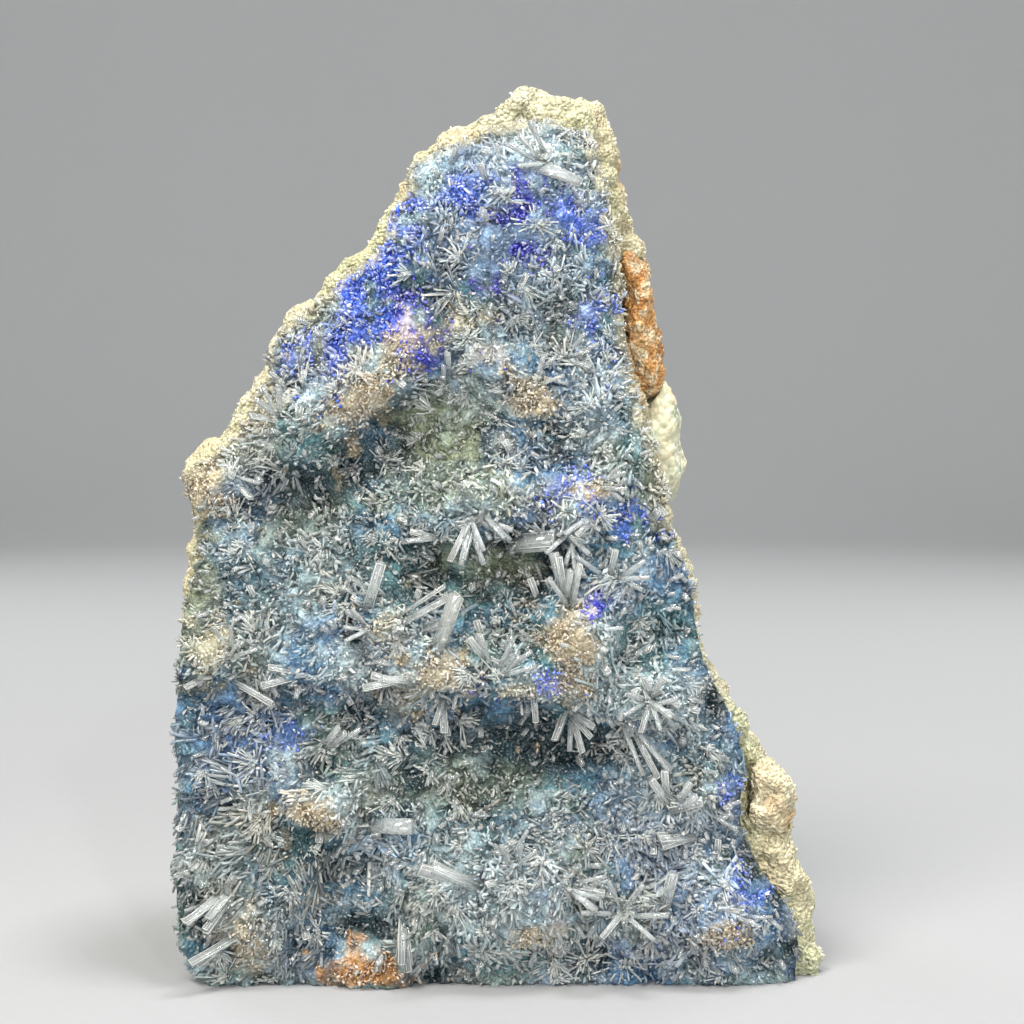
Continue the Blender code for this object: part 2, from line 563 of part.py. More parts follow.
def grown(point, by):
    """A point of the bed's border moved outwards from the middle of the plate."""
    x, z = point
    away = Vector((x - RIM_CENTRE[0], max(0.0, z - RIM_CENTRE[1]) / 2))
    away = away.normalized() * by
    return x + away.x, z + (away.y if z > 2.0 else 0.0)


def mineral_mass(name, material, sizes, fineness=3):
    """A lumpy mass of another mineral, grown into the flank of the matrix."""
    cx, cy, cz, half_x, half_y, half_z, turn, lump, height = sizes
    ball = bmesh.new()
    bmesh.ops.create_icosphere(ball, subdivisions=fineness, radius=1.0)
    cos, sin = math.cos(math.radians(turn)), math.sin(math.radians(turn))
    for vertex in ball.verts:
        out = vertex.co.normalized()
        out = Vector([math.copysign(abs(c) ** MASS_BLOCKINESS, c) for c in out])
        rise = height * (2 * lumps(out.x * half_x, out.y * half_y, out.z * half_z, lump, cz) - 1)
        x, y, z = out.x * (half_x + rise), out.y * (half_y + rise), out.z * (half_z + rise)
        vertex.co = Vector((cx + x * cos - z * sin, cy + y, cz + x * sin + z * cos)) * MM
    mesh = bpy.data.meshes.new(name)
    ball.to_mesh(mesh)
    ball.free()
    return new_object(name, mesh, material)


def socket_for(mass):
    """The hollow in the matrix that holds a mass: its own shape, one gap larger all round."""
    mesh = mass.data.copy()
    for vertex, normal in zip(mesh.vertices, [v.normal.copy() for v in mesh.vertices]):
        vertex.co += normal * SOCKET_GAP * MM
    socket = new_object(mass.name + "_socket", mesh, "cream_matrix")
    socket.hide_render = True
    socket.display_type = "WIRE"
    return socket


def build():
    """Makes every solid of the specimen."""
    for obj in list(bpy.data.objects):
        bpy.data.objects.remove(obj)
    seam = mineral_mass("limonite_seam", "limonite", SEAM)
    lobes = [mineral_mass(name, "pale_calcite", sizes) for name, sizes in LOBES.items()]
    sockets = [socket_for(mass) for mass in (seam, *lobes)]
    combine(lobes[0], sockets[0], "DIFFERENCE")
    matrix_rock(sockets)
    aragonite_crust()


build()
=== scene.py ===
"""The looks of a blue aragonite plate: a druse of glassy needles and prisms on its cream host rock.

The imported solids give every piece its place. Each piece here grows on one of them or stands in for it.
Sizes are in millimetres and are turned into metres as each mesh is made. +X is to the right of someone who
faces the crystals, the crystals face -Y, and +Z is up.
"""

import logging
import math
import random
from collections.abc import Iterator
from dataclasses import dataclass, field, replace
from enum import Enum
from typing import Any

import bmesh
import bpy
import numpy as np
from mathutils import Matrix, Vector
from mathutils.bvhtree import BVHTree
from mathutils.geometry import delaunay_2d_cdt


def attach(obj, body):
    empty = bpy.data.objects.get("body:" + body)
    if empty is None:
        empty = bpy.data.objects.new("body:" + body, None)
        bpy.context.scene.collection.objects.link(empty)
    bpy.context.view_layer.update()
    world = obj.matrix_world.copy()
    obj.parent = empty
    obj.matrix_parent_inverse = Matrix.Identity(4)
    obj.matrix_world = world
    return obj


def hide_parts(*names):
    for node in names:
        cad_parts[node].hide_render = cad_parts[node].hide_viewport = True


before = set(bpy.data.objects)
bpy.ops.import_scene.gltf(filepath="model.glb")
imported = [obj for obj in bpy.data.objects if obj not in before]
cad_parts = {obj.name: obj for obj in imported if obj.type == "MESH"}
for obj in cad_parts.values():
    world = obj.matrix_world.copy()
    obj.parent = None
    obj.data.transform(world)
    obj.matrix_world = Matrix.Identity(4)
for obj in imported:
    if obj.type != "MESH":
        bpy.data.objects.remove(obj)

log = logging.getLogger("aragonite")

MM = 0.001
TINT = "tint"
# Further from the specimen's middle than any point of it, where the rays that feel its surface start.
OUTSIDE = 90.0

Array = np.ndarray


class Tint(Enum):
    """The colours of the specimen, as 8-bit display values."""

    # A real colour of the bed, also laid as painted shade in its hollows and as painted shadow in the patches named
    # shadow.
    DARK_TEAL = (40, 62, 68)
    TEAL = (94, 138, 142)
    SLATE_BLUE = (104, 142, 180)
    DENIM = (104, 140, 200)
    PALE_DENIM = (150, 176, 214)
    ICE = (188, 208, 210)
    OLIVE = (146, 154, 120)
    CREAM = (212, 204, 172)
    YELLOW_CREAM = (202, 200, 158)
    TAN = (212, 194, 158)
    AZURE = (60, 98, 214)
    ULTRAMARINE = (36, 36, 184)
    LIMONITE = (204, 148, 86)
    RUST = (150, 88, 40)
    FROST = (220, 226, 218)
    WHITE = (240, 238, 230)
    PALE_GREEN = (184, 192, 164)
    GLASS = (238, 244, 244)
    WARM_FROST = (230, 220, 198)
    COOL_FROST = (206, 220, 228)

    @property
    def linear(self) -> Array:
        """The colour as linear red, green and blue."""
        part = np.array(self.value) / 255
        return np.where(part <= 0.04045, part / 12.92, ((part + 0.055) / 1.055) ** 2.4)


HASH_MIX = np.array([127.1, 311.7, 74.7])
HASH_STEP = 19.19
HASH_GAIN = 43758.5453


def hashed(cells: Array, seed: float) -> Array:
    """A repeatable random number from 0 to 1 for each integer cell.

    Args:
        cells: Whole-numbered positions, shape (..., 3).
        seed: Picks one of many patterns.

    Returns:
        One number for each cell.
    """
    mixed = np.sin(cells @ HASH_MIX + seed * HASH_STEP) * HASH_GAIN
    return mixed - np.floor(mixed)


def clouds(points: Array, size: float, seed: float) -> Array:
    """Smooth noise from -1 to 1.

    Args:
        points: Positions in millimetres, shape (n, 3).
        size: How far apart its features lie.
        seed: Picks one of many patterns.

    Returns:
        One value for each point.
    """
    scaled = points / size
    cell = np.floor(scaled)
    share = scaled - cell
    share = share * share * (3 - 2 * share)
    total = np.zeros(len(points))
    for corner in np.ndindex(2, 2, 2):
        weight = np.prod(np.where(corner, share, 1 - share), axis=1)
        total += weight * hashed(cell + corner, seed)
    return 2 * total - 1


def near_cells(points: Array, size: float, seed: float) -> Iterator[tuple[Array, Array]]:
    """The cell that each point lies in and the 26 cells round it, each with a middle at a random place in it.

    Args:
        points: Positions in millimetres, shape (n, 3).
        size: The cells' size.
        seed: Picks one of many patterns.

    Yields:
        The cells, and how far each point lies from the cell's middle.
    """
    scaled = points / size
    cell = np.floor(scaled)
    for step in np.ndindex(3, 3, 3):
        near = cell + np.array(step) - 1
        middle = near + np.stack([hashed(near, seed + k) for k in (1, 2, 3)], axis=1)
        yield near, scaled - middle


def pebbles(points: Array, size: float, seed: float) -> tuple[Array, Array]:
    """Rounded grains packed against each other.

    Args:
        points: Positions in millimetres, shape (n, 3).
        size: How far apart the grains' middles lie.
        seed: Picks one of many patterns.

    Returns:
        How high each point lies on its grain, from 0 to 1, and a random number for each point's grain.
    """
    nearest = np.full(len(points), np.inf)
    owner = np.zeros(len(points))
    for near, offset in near_cells(points, size, seed):
        away = (offset**2).sum(axis=1)
        closer = away < nearest
        nearest = np.where(closer, away, nearest)
        owner = np.where(closer, hashed(near, seed + 7), owner)
    return np.clip(1 - nearest, 0, 1), owner


def facets(points: Array, size: float, seed: float) -> tuple[Array, Array]:
    """Crystal faces that meet in sharp edges, each tilted its own way.

    Args:
        points: Positions in millimetres, shape (n, 3).
        size: How far apart the faces' middles lie.
        seed: Picks one of many patterns.

    Returns:
        How high each point stands, from about -1 to 1, and a random number for each point's face.
    """
    highest = np.full(len(points), -np.inf)
    owner = np.zeros(len(points))
    for near, offset in near_cells(points, size, seed):
        tilt = np.stack([hashed(near, seed + k) for k in (4, 5, 6)], axis=1) * 2 - 1
        height = (tilt * offset).sum(axis=1) + 0.9 * hashed(near, seed + 8) - 1.5 * np.abs(offset).max(axis=1)
        higher = height > highest
        highest = np.where(higher, height, highest)
        owner = np.where(higher, hashed(near, seed + 7), owner)
    return np.clip(highest, -1, 1), owner


def blended(first: Array, second: Array, share: Array) -> Array:
    """The mix of two sets of colours, by a share from 0 to 1 for each."""
    part = np.clip(share, 0, 1)[:, None]
    return first * (1 - part) + second * part


def unit(ways: Array) -> Array:
    """Directions brought to length 1, shape (n, 3)."""
    return ways / np.linalg.norm(ways, axis=1)[:, None]


def in_face(x: Array, z: Array) -> Array:
    """Places in the plate's face as points in space, shape (n, 3)."""
    return np.stack([x, np.zeros_like(x), z], axis=1)


def inside_ring(x: Array, z: Array, ring: Array) -> Array:
    """Which places lie inside a closed ring.

    Args:
        x, z: The places in the face.
        ring: The ring's corners in order, shape (m, 2).

    Returns:
        True for each place inside it.
    """
    found = np.zeros(len(x), bool)
    for (x0, z0), (x1, z1) in zip(ring, np.roll(ring, -1, axis=0)):
        if z0 == z1:
            continue
        crosses = (z0 > z) != (z1 > z)
        found ^= crosses & (x < x0 + (z - z0) * (x1 - x0) / (z1 - z0))
    return found


def ring_distance(x: Array, z: Array, ring: Array) -> Array:
    """Each place's distance in the face from the nearest edge of a closed ring.

    Args:
        x, z: The places in the face.
        ring: The ring's corners in order, shape (m, 2).

    Returns:
        One distance for each place.
    """
    point = np.stack([x, z], axis=1)
    nearest = np.full(len(x), np.inf)
    for start, end in zip(ring, np.roll(ring, -1, axis=0)):
        along = end - start
        length = max(float(along @ along), 1e-9)
        share = np.clip((point - start) @ along / length, 0, 1)
        nearest = np.minimum(nearest, np.linalg.norm(point - start - share[:, None] * along, axis=1))
    return nearest


def linked(name: str, data: bpy.types.ID) -> bpy.types.Object:
    """A new object in the scene.

    Args:
        name: The object's name.
        data: Its mesh, lamp or camera.

    Returns:
        The object.
    """
    made = bpy.data.objects.new(name, data)
    bpy.context.scene.collection.objects.link(made)
    return made


def new_piece(name: str, mesh: bpy.types.Mesh, finish: bpy.types.Material, slot: str) -> bpy.types.Object:
    """A piece of the specimen, which rides with the whole.

    Args:
        name: The piece's own name.
        mesh: Its mesh, in metres.
        finish: Its material.
        slot: A material slot for the piece. It is not used.

    Returns:
        The new object.
    """
    mesh.materials.clear()
    mesh.materials.append(finish)
    piece = linked(name, mesh)
    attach(piece, "root")
    log.info("%s: %d faces", name, len(mesh.polygons))
    return piece


def mesh_from(name: str, points: Array, faces: list[Array], tints: Array | None = None) -> bpy.types.Mesh:
    """A mesh from arrays.

    Args:
        name: The mesh's name.
        points: Its points in millimetres, shape (n, 3).
        faces: Arrays of faces, each of shape (m, corners).
        tints: A linear colour for each point, or None.

    Returns:
        The mesh, flat-shaded.
    """
    mesh = bpy.data.meshes.new(name)
    corners = np.concatenate([part.ravel() for part in faces]).astype(np.int32)
    totals = np.concatenate([np.full(len(part), part.shape[1]) for part in faces]).astype(np.int32)
    starts = np.concatenate([[0], np.cumsum(totals)[:-1]]).astype(np.int32)
    mesh.vertices.add(len(points))
    mesh.vertices.foreach_set("co", (points * MM).astype(np.float32).ravel())
    mesh.loops.add(len(corners))
    mesh.loops.foreach_set("vertex_index", corners)
    mesh.polygons.add(len(totals))
    mesh.polygons.foreach_set("loop_start", starts)
    mesh.polygons.foreach_set("loop_total", totals)
    mesh.update(calc_edges=True)
    mesh.validate()
    if tints is not None:
        paint_points(mesh, tints)
    return mesh


def paint_points(mesh: bpy.types.Mesh, tints: Array) -> None:
    """Stores a colour on each point of a mesh, for its finish to read.

    Args:
        mesh: The mesh.
        tints: A linear colour for each point, shape (n, 3).
    """
    layer = mesh.color_attributes.new(TINT, "FLOAT_COLOR", "POINT")
    rgba = np.concatenate([np.clip(tints, 0, 1), np.ones((len(tints), 1))], axis=1)
    layer.data.foreach_set("color", rgba.astype(np.float32).ravel())


def points_and_normals(mesh: bpy.types.Mesh) -> tuple[Array, Array]:
    """Reads a mesh.

    Args:
        mesh: The mesh.

    Returns:
        Its points in millimetres and the way it faces at each, shape (n, 3).
    """
    points, normals = np.empty((2, len(mesh.vertices) * 3), np.float32)
    mesh.vertices.foreach_get("co", points)
    mesh.vertex_normals.foreach_get("vector", normals)
    return points.reshape(-1, 3).astype(float) / MM, normals.reshape(-1, 3).astype(float)


def shade_smooth(mesh: bpy.types.Mesh) -> None:
    """Shades a mesh as one rounded surface."""
    for polygon in mesh.polygons:
        polygon.use_smooth = True


def place_points(mesh: bpy.types.Mesh, points: Array) -> None:
    """Moves a mesh's points to new places in millimetres."""
    mesh.vertices.foreach_set("co", (points * MM).astype(np.float32).ravel())
    mesh.update()


# How a patch fades out from its middle, and how ragged its outline is.
PATCH_CORE = 1.6
PATCH_FALL = 1.3
PATCH_RAGGED = 0.6


@dataclass(frozen=True)
class Patch:
    """A stretch of the crystal bed with a colour and a growth of its own.

    Args:
        x: Its middle, to the right.
        z: Its middle, upwards.
        wide: Its half width.
        high: Its half height.
        tint: Its colour.
        strength: How far it covers what lies under it, from 0 to 1.
        needles: How much of the usual growth of needles it carries.
        turn: How far it is turned, in degrees.
    """

    x: float
    z: float
    wide: float
    high: float
    tint: Tint
    strength: float = 0.9
    needles: float = 1.0
    turn: float = 0.0

    def cover(self, x: Array, z: Array, ragged: Array) -> Array:
        """How far the patch covers each place.

        Args:
            x, z: The places in the face.
            ragged: Noise that makes its outline ragged.

        Returns:
            Numbers from 0 to the patch's strength.
        """
        cos, sin = math.cos(math.radians(self.turn)), math.sin(math.radians(self.turn))
        across = ((x - self.x) * cos + (z - self.z) * sin) / self.wide
        up = ((z - self.z) * cos - (x - self.x) * sin) / self.high
        away = np.sqrt(across**2 + up**2) * (1 + PATCH_RAGGED * ragged)
        return self.strength * np.clip(PATCH_CORE - PATCH_FALL * away, 0, 1)


# The colours of the druse, laid one over the other in this order. The patches named shadow are painted shadow: dark
# teal laid under ledges, crests and banks.
PATCHES = {
    "upper denim": Patch(0, 100, 14, 13, Tint.PALE_DENIM, 0.75, 0.9),
    "crown ice": Patch(3, 109, 10, 5, Tint.ICE, 0.4),
    "left crown": Patch(-11, 107, 4, 6, Tint.ICE, 0.6, 0.7),
    "azure spur": Patch(-14, 101, 3.4, 3.4, Tint.AZURE, 0.9, 0.5),
    "spur foot": Patch(-16, 95, 4.2, 4.4, Tint.AZURE, 0.9, 0.5),
    "outer azure": Patch(-20, 92, 4.0, 3.6, Tint.AZURE, 0.85, 0.5),
    "shoulder azure": Patch(-23.5, 83, 4.4, 4.0, Tint.AZURE, 0.85, 0.6),
    "deep azure": Patch(-12.5, 88, 4.4, 5.6, Tint.ULTRAMARINE, 0.95, 0.35),
    "deep azure foot": Patch(-10, 83.5, 2.4, 3.0, Tint.ULTRAMARINE, 0.9, 0.4),
    "azure band": Patch(-17.5, 87.5, 6, 3.4, Tint.AZURE, 0.8, 0.5, 30),
    "upper azure": Patch(-5, 104.5, 3.4, 3.0, Tint.AZURE, 0.8, 0.6),
    "upper deep": Patch(3, 102.5, 3.4, 2.8, Tint.ULTRAMARINE, 0.9, 0.45),
    "middle deep": Patch(1.5, 97, 3.4, 3.4, Tint.ULTRAMARINE, 0.9, 0.4),
    "lower deep": Patch(-2.5, 93, 2.8, 2.6, Tint.ULTRAMARINE, 0.85, 0.5),
    "right azure": Patch(9, 102, 3.6, 3.0, Tint.AZURE, 0.75, 0.7),
    "right azure band": Patch(12, 99, 3.0, 4.2, Tint.AZURE, 0.6, 0.8),
    "flank azure": Patch(12.5, 88, 4.0, 4.4, Tint.AZURE, 0.65, 0.8),
    "star azure": Patch(10.5, 66, 4.0, 3.2, Tint.AZURE, 0.7, 0.8),
    "edge azure": Patch(16.5, 62.5, 3.2, 3.0, Tint.AZURE, 0.65, 0.8),
    "knob azure": Patch(12, 50.6, 2.2, 1.6, Tint.ULTRAMARINE, 0.95, 0.3),
    "ledge azure": Patch(6, 41, 2.4, 1.8, Tint.AZURE, 0.75, 0.7),
    "shelf azure": Patch(-2, 38.4, 2.0, 2.2, Tint.ULTRAMARINE, 0.8, 0.6),
    "right bank azure": Patch(30, 26, 2.6, 2.4, Tint.AZURE, 0.6, 0.8),
    "corner azure": Patch(33, 13, 3.6, 3.4, Tint.AZURE, 0.7, 0.8),
    "left azure": Patch(-28, 33, 2.8, 2.2, Tint.AZURE, 0.55, 0.9),
    "lower left slate": Patch(-33, 20, 14, 18, Tint.DARK_TEAL, 0.36),
    "lower slate": Patch(8, 20, 30, 10, Tint.DARK_TEAL, 0.24),
    "left denim": Patch(-36, 33, 7, 5, Tint.DENIM, 0.4),
    "olive valley": Patch(-9, 75, 7, 6, Tint.OLIVE, 0.7),
    "olive foot": Patch(-8, 67, 8, 5, Tint.OLIVE, 0.65),
    "olive band": Patch(-1, 55.5, 8, 3, Tint.OLIVE, 0.6, 0.8),
    "left olive": Patch(-29, 61, 7, 4, Tint.OLIVE, 0.5, 0.9),
    "lower olive": Patch(-3, 27, 8, 4, Tint.OLIVE, 0.45, 0.9),
    "corner olive": Patch(35, 17, 3.2, 3.6, Tint.OLIVE, 0.75, 0.7),
    "left edge olive": Patch(-41, 48, 3, 8, Tint.OLIVE, 0.6, 0.8),
    "bottom ice": Patch(-1, 13, 14, 8, Tint.ICE, 0.75),
    "right bank blue": Patch(21, 20, 13, 9, Tint.DENIM, 0.4),
    "lower right blue": Patch(27, 9, 10, 8, Tint.DENIM, 0.45),
    "upper middle ice": Patch(4, 90, 9, 6, Tint.ICE, 0.4),
    "right flank ice": Patch(11, 78, 6, 7, Tint.ICE, 0.5),
    "crest foot ice": Patch(-3, 80, 7, 4, Tint.ICE, 0.45),
    "left ice": Patch(-27, 52, 8, 5, Tint.ICE, 0.25),
    "right ice": Patch(19, 38, 6, 5, Tint.ICE, 0.55),
    "right slope ice": Patch(22, 26, 7, 6, Tint.ICE, 0.35),
    # Painted shadow: dark teal where ledges, crests and knobs shade the bed.
    "shoulder shadow": Patch(-29, 66.5, 7, 3.4, Tint.DARK_TEAL, 0.75, 0.8),
    "crest shadow": Patch(-20, 71.5, 4.4, 2.6, Tint.DARK_TEAL, 0.85, 0.6),
    "bank shadow": Patch(-12, 52.5, 6, 2.6, Tint.DARK_TEAL, 0.7, 0.8),
    "ledge shadow": Patch(3, 32.4, 13, 4.0, Tint.DARK_TEAL, 0.95, 0.7),
    "lower left shadow": Patch(-21, 18, 4, 3, Tint.DARK_TEAL, 0.7, 0.9),
    "lowest shadow": Patch(-15, 8, 3.6, 4, Tint.DARK_TEAL, 0.65, 0.9),
    "right shadow": Patch(24, 29, 4, 2.6, Tint.DARK_TEAL, 0.65, 0.9),
    "shoulder knob": Patch(-39.5, 67, 4.0, 3.0, Tint.TAN, 0.9, 0.15),
    "shoulder crest": Patch(-32, 75.5, 4.6, 2.4, Tint.CREAM, 0.7, 0.6, 40),
    "tongue": Patch(-18.5, 77.5, 3.2, 5.6, Tint.TAN, 0.85, 0.3, -38),
    "crest": Patch(-14, 84, 3.0, 3.6, Tint.TAN, 0.85, 0.3, -20),
    "cream knot": Patch(-5, 88.5, 4.4, 2.4, Tint.CREAM, 0.8, 0.5, 20),
    "white knot": Patch(-2, 83.8, 3.0, 1.6, Tint.WHITE, 0.8, 0.5),
    "tan knot": Patch(4.4, 77, 2.2, 3.2, Tint.TAN, 0.9, 0.15, 30),
    "small tan knot": Patch(13, 66, 1.8, 1.6, Tint.TAN, 0.9, 0.15),
    "shelf tan": Patch(-8.5, 41.4, 4.4, 2.8, Tint.TAN, 0.8, 0.3),
    "knob": Patch(8.2, 46.6, 3.6, 4.8, Tint.TAN, 0.92, 0.15, -10),
    "knob foot": Patch(9.2, 40.6, 3.6, 2.4, Tint.TAN, 0.7, 0.4),
    "ledge tan": Patch(1.5, 39.6, 3.6, 1.8, Tint.CREAM, 0.7, 0.5),
    "prism bank": Patch(-15.5, 47.6, 3.6, 2.2, Tint.CREAM, 0.75, 0.6),
    "left knot": Patch(-38, 45, 3.6, 3.0, Tint.CREAM, 0.8, 0.7),
    "left tan knot": Patch(-25, 23.4, 4.6, 3.0, Tint.TAN, 0.9, 0.15),
    "small pale knot": Patch(-29, 30, 2.6, 2.4, Tint.ICE, 0.6, 0.8),
    "corner tan": Patch(30, 7, 3.4, 2.6, Tint.TAN, 0.85, 0.15),
    "mound tan": Patch(4, 7.4, 2.8, 2.0, Tint.TAN, 0.7, 0.15),
    "left bank tan": Patch(-34, 6, 2.6, 4.0, Tint.TAN, 0.55, 0.15),
    "orange knobs": Patch(-19.5, 2.8, 3.6, 2.2, Tint.LIMONITE, 0.95, 0.2),
    "lower orange": Patch(-15.6, 1.4, 2.4, 1.4, Tint.LIMONITE, 0.85, 0.3),
}


@dataclass
class BedRelief:
    """The shape of the crystal bed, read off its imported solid.

    Args:
        solid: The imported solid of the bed.
        step: The spacing of the places that are read.
        opening: Prisms narrower than this are taken off, to leave the bed alone.
        rounding: How often the solid's facets are rounded off.
        broad_rounding: How often they are for the shape of the surroundings.
        knob_height: How far a knob stands out of its surroundings.
        needle_share: How much of the bed's thickness the needles take up.
        shallowest: The least depth of the needles.
        deepest: The greatest depth of the needles.
    """

    solid: bpy.types.Object
    step: float = 0.5
    opening: float = 3.0
    rounding: int = 3
    broad_rounding: int = 220
    knob_height: float = 2.2
    needle_share: float = 0.24
    shallowest: float = 0.5
    deepest: float = 1.4
    start: Array = field(init=False)
    front: Array = field(init=False)
    back: Array = field(init=False)
    broad: Array = field(init=False)
    border: Array = field(init=False)

    def __post_init__(self) -> None:
        """Reads the solid's front and back over its whole face."""
        self.border = self.read_border()
        low, high = self.border.min(axis=0) - 2, self.border.max(axis=0) + 2
        self.start = low
        xs = np.arange(low[0], high[0], self.step)
        zs = np.arange(low[1], high[1], self.step)
        tree = BVHTree.FromObject(self.solid, bpy.context.evaluated_depsgraph_get())
        front = np.full((len(xs), len(zs)), np.nan)
        back = np.full_like(front, np.nan)
        for i, x in enumerate(xs):
            for k, z in enumerate(zs):
                hit = tree.ray_cast(Vector((x, -OUTSIDE, z)) * MM, Vector((0, 1, 0)))[0]
                if hit is not None:
                    behind = tree.ray_cast(Vector((x, OUTSIDE, z)) * MM, Vector((0, -1, 0)))[0]
                    front[i, k], back[i, k] = hit.y / MM, behind.y / MM
        self.back = self.filled(back)
        self.front = self.softened(self.without_prisms(self.filled(front)), self.rounding)
        self.broad = self.softened(self.front, self.broad_rounding)

    def read_border(self) -> Array:
        """Walks round the solid's flat back.

        Returns:
            The ring of its corners, shape (n, 2).
        """
        mesh = bmesh.new()
        mesh.from_mesh(self.solid.data)
        bmesh.ops.remove_doubles(mesh, verts=mesh.verts, dist=1e-6)
        behind = {face for face in mesh.faces if face.normal.y > 0.9}
        after: dict[Any, Any] = {}
        for edge in mesh.edges:
            flat = [face for face in edge.link_faces if face in behind]
            if len(flat) == 1:
                loop = next(loop for loop in flat[0].loops if loop.edge == edge)
                after[loop.vert] = loop.link_loop_next.vert
        first = max(after, key=lambda vert: vert.co.z)
        ring = [first]
        while after[ring[-1]] is not first:
            ring.append(after[ring[-1]])
        points = np.array([(vert.co.x / MM, vert.co.z / MM) for vert in ring])
        mesh.free()
        return points

    def filled(self, grid: Array) -> Array:
        """Fills the places off the solid.

        Args:
            grid: Values read off the solid, with gaps.

        Returns:
            The grid, each gap with its nearest neighbours' value.
        """
        grid = grid.copy()
        while np.isnan(grid).any():
            padded = np.pad(grid, 1, constant_values=np.nan)
            near = np.stack([padded[1:-1, :-2], padded[1:-1, 2:], padded[:-2, 1:-1], padded[2:, 1:-1]])
            count = (~np.isnan(near)).sum(axis=0)
            mean = np.where(count > 0, np.nansum(near, axis=0) / np.maximum(count, 1), np.nan)
            grid = np.where(np.isnan(grid), mean, grid)
        return grid

    def without_prisms(self, grid: Array) -> Array:
        """Takes off everything narrow that stands on the front.

        Args:
            grid: The front, prisms included.

        Returns:
            The front without them.
        """
        reach = int(self.opening / self.step / 2)
        for pick in (np.maximum, np.minimum):
            for axis in (0, 1):
                shifted = [np.roll(grid, k, axis=axis) for k in range(-reach, reach + 1)]
                grid = pick.reduce(shifted)
        return grid

    def softened(self, grid: Array, times: int) -> Array:
        """Rounds the facets of a grid off.

        Args:
            grid: The grid.
            times: How often each point takes up its neighbours' mean.

        Returns:
            The rounded grid.
        """
        for _ in range(times):
            padded = np.pad(grid, 1, mode="edge")
            grid = (padded[1:-1, :-2] + padded[1:-1, 2:] + padded[:-2, 1:-1] + padded[2:, 1:-1] + 2 * grid) / 6
        return grid

    def look_up(self, grid: Array, x: Array, z: Array) -> Array:
        """Reads a grid between its points.

        Args:
            grid: The grid.
            x, z: The places in the face.

        Returns:
            Its value at each place.
        """
        i = np.clip((x - self.start[0]) / self.step, 0, grid.shape[0] - 1.001)
        k = np.clip((z - self.start[1]) / self.step, 0, grid.shape[1] - 1.001)
        i0, k0 = i.astype(int), k.astype(int)
        u, v = i - i0, k - k0
        near = grid[i0, k0] * (1 - v) + grid[i0, k0 + 1] * v
        far = grid[i0 + 1, k0] * (1 - v) + grid[i0 + 1, k0 + 1] * v
        return near * (1 - u) + far * u

    def tips(self, x: Array, z: Array) -> Array:
        """y of the surface that the needles' tips reach."""
        return self.look_up(self.front, x, z)

    def prominence(self, x: Array, z: Array) -> Array:
        """How far each place stands out of its surroundings, from about -1 in a hollow to 1 on a knob."""
        return np.clip((self.look_up(self.broad, x, z) - self.tips(x, z)) / self.knob_height, -1, 1)

    def thickness(self, x: Array, z: Array) -> Array:
        """How thick the bed is, needles included."""
        return self.look_up(self.back, x, z) - self.tips(x, z)

    def cover(self, x: Array, z: Array) -> Array:
        """How deep the needles stand over the bed that they grow from."""
        wander = 1 + 0.35 * clouds(in_face(x, z), 6.0, BED_SEED + 20)
        return np.clip(self.needle_share * self.thickness(x, z) * wander, self.shallowest, self.deepest)

    def bed(self, x: Array, z: Array) -> Array:
        """y of the surface that the needles grow from."""
        return self.tips(x, z) + self.cover(x, z)

    def normals(self, x: Array, z: Array, reach: float = 1.2) -> Array:
        """The way the bed faces, judged over a few millimetres.

        Args:
            x, z: The places in the face.
            reach: How far to each side the bed is felt.

        Returns:
            Directions of length 1, shape (n, 3).
        """
        slope_x = (self.bed(x + reach, z) - self.bed(x - reach, z)) / (2 * reach)
        slope_z = (self.bed(x, z + reach) - self.bed(x, z - reach)) / (2 * reach)
        return unit(np.stack([slope_x, -np.ones_like(x), slope_z], axis=1))


# The cream strip down the right side: x and z of the line where it turns fully cream, and how wide it fades in.
RIGHT_STRIP = ((15.6, 113), (16.0, 100), (17.4, 88), (18.6, 78), (21.0, 68), (22.6, 60))
STRIP_WIDTH = 3.2
STRIP_FOOT = 60
# The cream border of the upper half: how wide it is, and how far down it reaches.
BORDER_CREAM = 1.3
BORDER_FOOT = 56
# The first of the bed's patterns of noise. The others count on from it.
BED_SEED = 5.0
BLUES = (Tint.AZURE, Tint.ULTRAMARINE)


@dataclass(frozen=True)
class Wash:
    """A colour that lies over the ones below it in drifts.

    Args:
        tint: The colour.
        size: How far apart the drifts lie.
        seed: Picks their pattern.
        strength: How far they stand out.
        spread: How far they run together.
    """

    tint: Tint
    size: float
    seed: float
    strength: float
    spread: float

    def over(self, colour: Array, place: Array) -> Array:
        """The colours at some places, with the wash laid over them."""
        return blended(colour, self.tint.linear, self.strength * clouds(place, self.size, self.seed) + self.spread)


GROUND_WASHES = (
    Wash(Tint.OLIVE, 11.0, BED_SEED + 5, 0.9, -0.1),
    Wash(Tint.CREAM, 6.5, BED_SEED + 10, 0.9, -0.2),
)


def outline_noise(place: Array) -> Array:
    """The noise that makes the patches' outlines ragged, at each place."""
    return clouds(place, 2.2, BED_SEED + 6) + 0.5 * clouds(place, 0.9, BED_SEED + 7)


def clumped(patch: Patch, cover: Array, place: Array) -> Array:
    """Breaks the blue patches into clumps.

    Args:
        patch: The patch.
        cover: How far it covers each place.
        place: The places, shape (n, 3).

    Returns:
        How far it covers each place once it is broken up.
    """
    if patch.tint not in BLUES:
        return cover
    return cover * np.clip(0.95 + 1.6 * clouds(place, 2.2, BED_SEED + 8), 0, 1)


